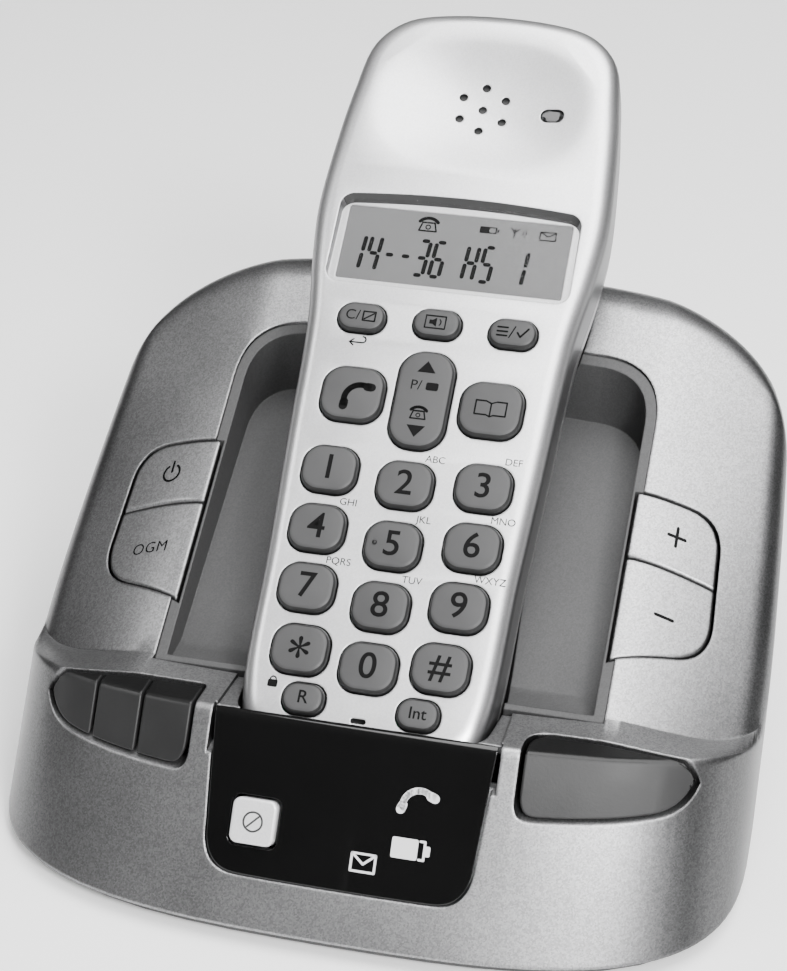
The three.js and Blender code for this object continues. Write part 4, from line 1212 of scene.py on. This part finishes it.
def make_key_prints():
    signs = {"key_star": "*", "key_hash": "#", "key_recall": "R", "key_intercom": "Int"}
    signs |= {f"key_{n}": str(n) for n in range(10)}
    for name in KEY_NAMES:
        x, y, _, height, _, top = key_size(name)
        shape = bmesh.new()
        if name in signs:
            tall = {"key_recall": 2.3, "key_intercom": 2.1, "key_star": 6.2}.get(name, 4.7)
            written(shape, signs[name], x, y - (STAR_DROP if name == "key_star" else 0), tall)
        elif name == "key_call":
            handset_symbol(shape, x + 0.3, y + 0.2, 1.15, 42)
        elif name == "key_phonebook":
            book_symbol(shape, x, y, 1.05)
        elif name == "key_rocker":
            triangle(shape, x, y + 6.1, 2.2)
            triangle(shape, x, y - 6.3, 2.2, up=False)
            written(shape, "P/", x - 1.4, y + 2.4, 1.9)
            filled(shape, rounded(2.2, 1.5, 0.3, x + 1.5, y + 2.4, 3))
            desk_phone_symbol(shape, x, y - 2.7, 0.8)
        elif name == "key_soft_left":
            written(shape, "C/", x - 1.5, y, 2.0)
            stroke(shape, rect(x + 0.4, y - 0.9, x + 2.6, y + 0.9), 0.3, closed=True)
            stroke(shape, [(x + 0.7, y - 0.6), (x + 2.3, y + 0.6)], 0.3)
        elif name == "key_soft_middle":
            stroke(shape, rect(x - 2.0, y - 1.2, x + 1.6, y + 1.2), 0.28, closed=True)
            horn = [(-1.3, -0.4), (-0.7, -0.4), (0, -0.9), (0, 0.9), (-0.7, 0.4), (-1.3, 0.4)]
            filled(shape, moved(horn, x, y))
            stroke(shape, arc(x, y, 0.8, -45, 45, 5), 0.22)
        elif name == "key_soft_right":
            for row in (-0.8, 0, 0.8):
                stroke(shape, [(x - 2.7, y + row), (x - 0.9, y + row)], 0.34)
            stroke(shape, [(x - 0.5, y - 1.1), (x + 0.4, y + 1.1)], 0.26)
            stroke(shape, [(x + 0.9, y), (x + 1.5, y - 0.8), (x + 2.8, y + 0.9)], 0.36)
        print_piece(name + "_sign", shape, HANDSET_FRAME, top + PRINT_LIFT, ink, name)

    shape = bmesh.new()
    for name, letters in KEY_LETTERS.items():
        x, y, width, height, _, _ = key_size(name)
        written(shape, letters, x + width * 0.44, y + height / 2 + 1.15, 1.35)
    x, y, width, height, _, _ = key_size("key_soft_left")
    arrow_y = y - height / 2 - 1.9
    hook = arc(x + 0.9, arrow_y + 0.6, 0.6, -60, 90, 6)
    stroke(shape, [(x - 1.4, arrow_y), (x + 0.9, arrow_y)] + hook, 0.3)
    stroke(shape, [(x - 0.7, arrow_y + 0.6), (x - 1.4, arrow_y), (x - 0.7, arrow_y - 0.6)], 0.3)
    x, y, width, height, _, _ = key_size("key_star")
    lock_x, lock_y = x - width * 0.36, y - height / 2 - 2.0
    filled(shape, rounded(1.7, 1.3, 0.2, lock_x, lock_y, 3))
    stroke(shape, arc(lock_x, lock_y + 0.7, 0.5, 0, 180, 8), 0.26)
    print_piece("handset_face_print", shape, HANDSET_FRAME, PRINT_LIFT, ink, "handset")

    x, y, width, height, _, top = key_size("key_5")
    dot = bmesh.new()
    bmesh.ops.create_uvsphere(dot, u_segments=16, v_segments=10, radius=0.45)
    turned(dot, Matrix.Translation((x - width / 2 + 1.9, y, top - 0.05)))
    make_piece("key_5_dot", dot, HANDSET_FRAME, key_side_painted_shade, "key_5")


def laid_on_body(shape, drop):
    """Lays flat print onto the base's outer form, along a direction."""
    for v in shape.verts:
        place, normal, _, _ = body_tree.ray_cast(v.co - Vector(drop) * 150, Vector(drop))
        if place is not None:
            v.co = place + normal * PRINT_LIFT


def make_base_prints():
    slope = Matrix.Rotation(FACE_LEAN, 4, "X")
    into_face = Vector(inward(1))

    def on_face(x, z):
        y = RIDGE_Y - (ledge_z(RIDGE_Y) - z) / math.tan(FACE_LEAN)
        return Matrix.Translation((x, y, z)) @ slope

    icons = bmesh.new()
    for place, draw in (
        ((11.7, 23.5), lambda s: handset_symbol(s, 0, 0.4, 1.15, 24)),
        ((4.5, 14.3), lambda s: envelope_symbol(s, 0, 0, 4.0, 2.9, 0.4)),
        ((11.8, 17.0), battery_symbol),
    ):
        one = bmesh.new()
        draw(one)
        face_up(one)
        turned(one, on_face(*place))
        laid_on_body(one, into_face)
        mesh = to_mesh(one)
        icons.from_mesh(mesh)
        bpy.data.meshes.remove(mesh)
    make_piece("panel_icons", icons, BASE_FRAME, pale_ink, "base")

    sign = bmesh.new()
    stroke(sign, arc(0, 0, 1.6, 0, 345, 23), 0.35, closed=True)
    stroke(sign, [(-0.9, -0.9), (0.9, 0.9)], 0.35)
    lift = PAGE_KEY_TOP + PRINT_LIFT
    print_piece("page_key_sign", sign, BASE_FRAME @ PAGE_FRAME, lift, key_top, "page_key")

    k = SIDE_KEYS
    for name, side, draw in (
        ("power_key", -1, power_symbol),
        ("greeting_key", -1, lambda s, x, y: written(s, "OGM", x, y, 2.0, 1.1)),
        ("volume_up_key", 1, lambda s, x, y: plus_symbol(s, x, y, True)),
        ("volume_down_key", 1, lambda s, x, y: plus_symbol(s, x, y, False)),
    ):
        low, high = local_box(name, BASE_FRAME)
        x = side * (k["inner"] + k["outer"]) / 2
        y = (low.y + high.y) / 2 + (0.8 if name in ("greeting_key", "volume_down_key") else 0)
        one = bmesh.new()
        draw(one, x, y)
        face_up(one)
        laid_on_body(one, (0, 0, -1))
        make_piece(name + "_sign", one, BASE_FRAME, ink, name)


def battery_symbol(shape):
    filled(shape, rounded(4.4, 3.4, 0.3, -0.8, 0, 3))
    stroke(shape, rect(1.7, -1.5, 2.5, 1.5), 0.4)
    filled(shape, rounded(0.9, 1.7, 0.2, 3.0, 0, 3))


def power_symbol(shape, x, y):
    stroke(shape, arc(x, y, 1.5, 122, 418, 20), 0.42)
    stroke(shape, [(x, y + 0.2), (x, y + 2.1)], 0.42)


def plus_symbol(shape, x, y, both):
    stroke(shape, [(x - 1.5, y), (x + 1.5, y)], 0.55)
    if both:
        stroke(shape, [(x, y - 1.6), (x, y + 1.6)], 0.55)


# ---------------------------------------------------------- remaining nodes
CAD_FINISHES = {
    "base_tray": tray_plastic,
    "foot_front_left": foot_rubber, "foot_front_right": foot_rubber,
    "foot_back_left": foot_rubber, "foot_back_right": foot_rubber,
    "charge_spring_left": contact_metal, "charge_spring_right": contact_metal,
    "charge_pad_left": contact_metal, "charge_pad_right": contact_metal,
    "tray_screw_left": screw_steel, "tray_screw_right": screw_steel,
    "base_board": board_green, "handset_board": board_green,
    "base_speaker": black_plastic, "line_socket": black_plastic, "power_socket": black_plastic,
    "earpiece": black_plastic, "microphone": black_plastic,
    "battery_cell_left": cell_wrap, "battery_cell_right": cell_wrap,
    "key_mat": mat_rubber,
}  # fmt: skip


def finish_cad_nodes():
    for name, material in CAD_FINISHES.items():
        slots = nodes[name].data.materials
        if not slots:
            slots.append(None)
        for i in range(len(slots)):
            slots[i] = material


# ------------------------------------------------------ floor, light, camera
def make_stage():
    floor = bmesh.new()
    bmesh.ops.create_grid(floor, x_segments=1, y_segments=1, size=30)
    mesh = to_mesh(floor, "floor")
    material, tree, shader = new_material("floor_pale")
    cloud = texture(tree, "ShaderNodeTexNoise", 4)
    link(tree, ramp(tree, cloud.outputs["Fac"], 0.95, 0.97), shader.inputs["Base Color"])
    shader.inputs["Roughness"].default_value = 0.9
    shader.inputs["Emission Color"].default_value = (1, 1, 1, 1)
    shader.inputs["Emission Strength"].default_value = 0.16
    mesh.materials.append(material)
    in_scene("floor", mesh)


def add_light(name, place, size, power, aim=(0, 0, 0.04)):
    data = bpy.data.lights.new(name, "AREA")
    data.shape = "RECTANGLE"
    data.size, data.size_y = size
    data.energy = power
    light = in_scene(name, data)
    light.location = place
    light.rotation_euler = (Vector(aim) - Vector(place)).to_track_quat("-Z", "Y").to_euler()


def make_lights():
    add_light("overhead", (0.2, 0.08, 0.92), (0.8, 0.8), 15)
    add_light("face_softbox", (0.35, -0.75, 0.8), (0.5, 0.5), 7)
    add_light("corner_right", (0.42, -0.56, 0.58), (0.18, 0.18), 7.5, (0.03, -0.05, 0.01))
    add_light("corner_left", (-0.5, -0.2, 0.62), (0.3, 0.2), 1.6, (-0.03, -0.05, 0.01))
    world = bpy.data.worlds.new("studio")
    world.use_nodes = True
    tree = world.node_tree
    coords = tree.nodes.new("ShaderNodeTexCoord")
    split = tree.nodes.new("ShaderNodeSeparateXYZ")
    link(tree, coords.outputs["Generated"], split.inputs["Vector"])
    sky = ramp(tree, split.outputs["Z"], 0.06, 1.0, 0.3, 0.85)
    side = ramp(tree, split.outputs["X"], 0.35, 1.0, 0.0, 0.6)
    link(tree, multiplied(tree, sky, side), tree.nodes["Background"].inputs["Color"])
    tree.nodes["Background"].inputs["Strength"].default_value = 0.55
    bpy.context.scene.world = world


CAMERA = {"place": (71.8, -307.7, 258.8), "azimuth": 13.29, "elevation": 32.27, "lens": 81.57}


def make_camera():
    data = bpy.data.cameras.new("camera")
    data.sensor_fit = "VERTICAL"
    data.sensor_height = 36
    data.lens = CAMERA["lens"]
    camera = in_scene("camera", data)
    camera.location = BASE_FRAME @ Vector(CAMERA["place"])
    camera.rotation_euler = (math.radians(90 - CAMERA["elevation"]), 0, math.radians(CAMERA["azimuth"]))
    bpy.context.scene.camera = camera


make_camera()
make_stage()
make_lights()
make_cover()
make_liner()
make_panel()
make_front_keys()
make_side_keys()
make_handset_keys()
make_front_shell()
make_back_shell()
make_door()
make_window()
make_lamp()
make_display_prints()
make_key_prints()
make_base_prints()
finish_cad_nodes()
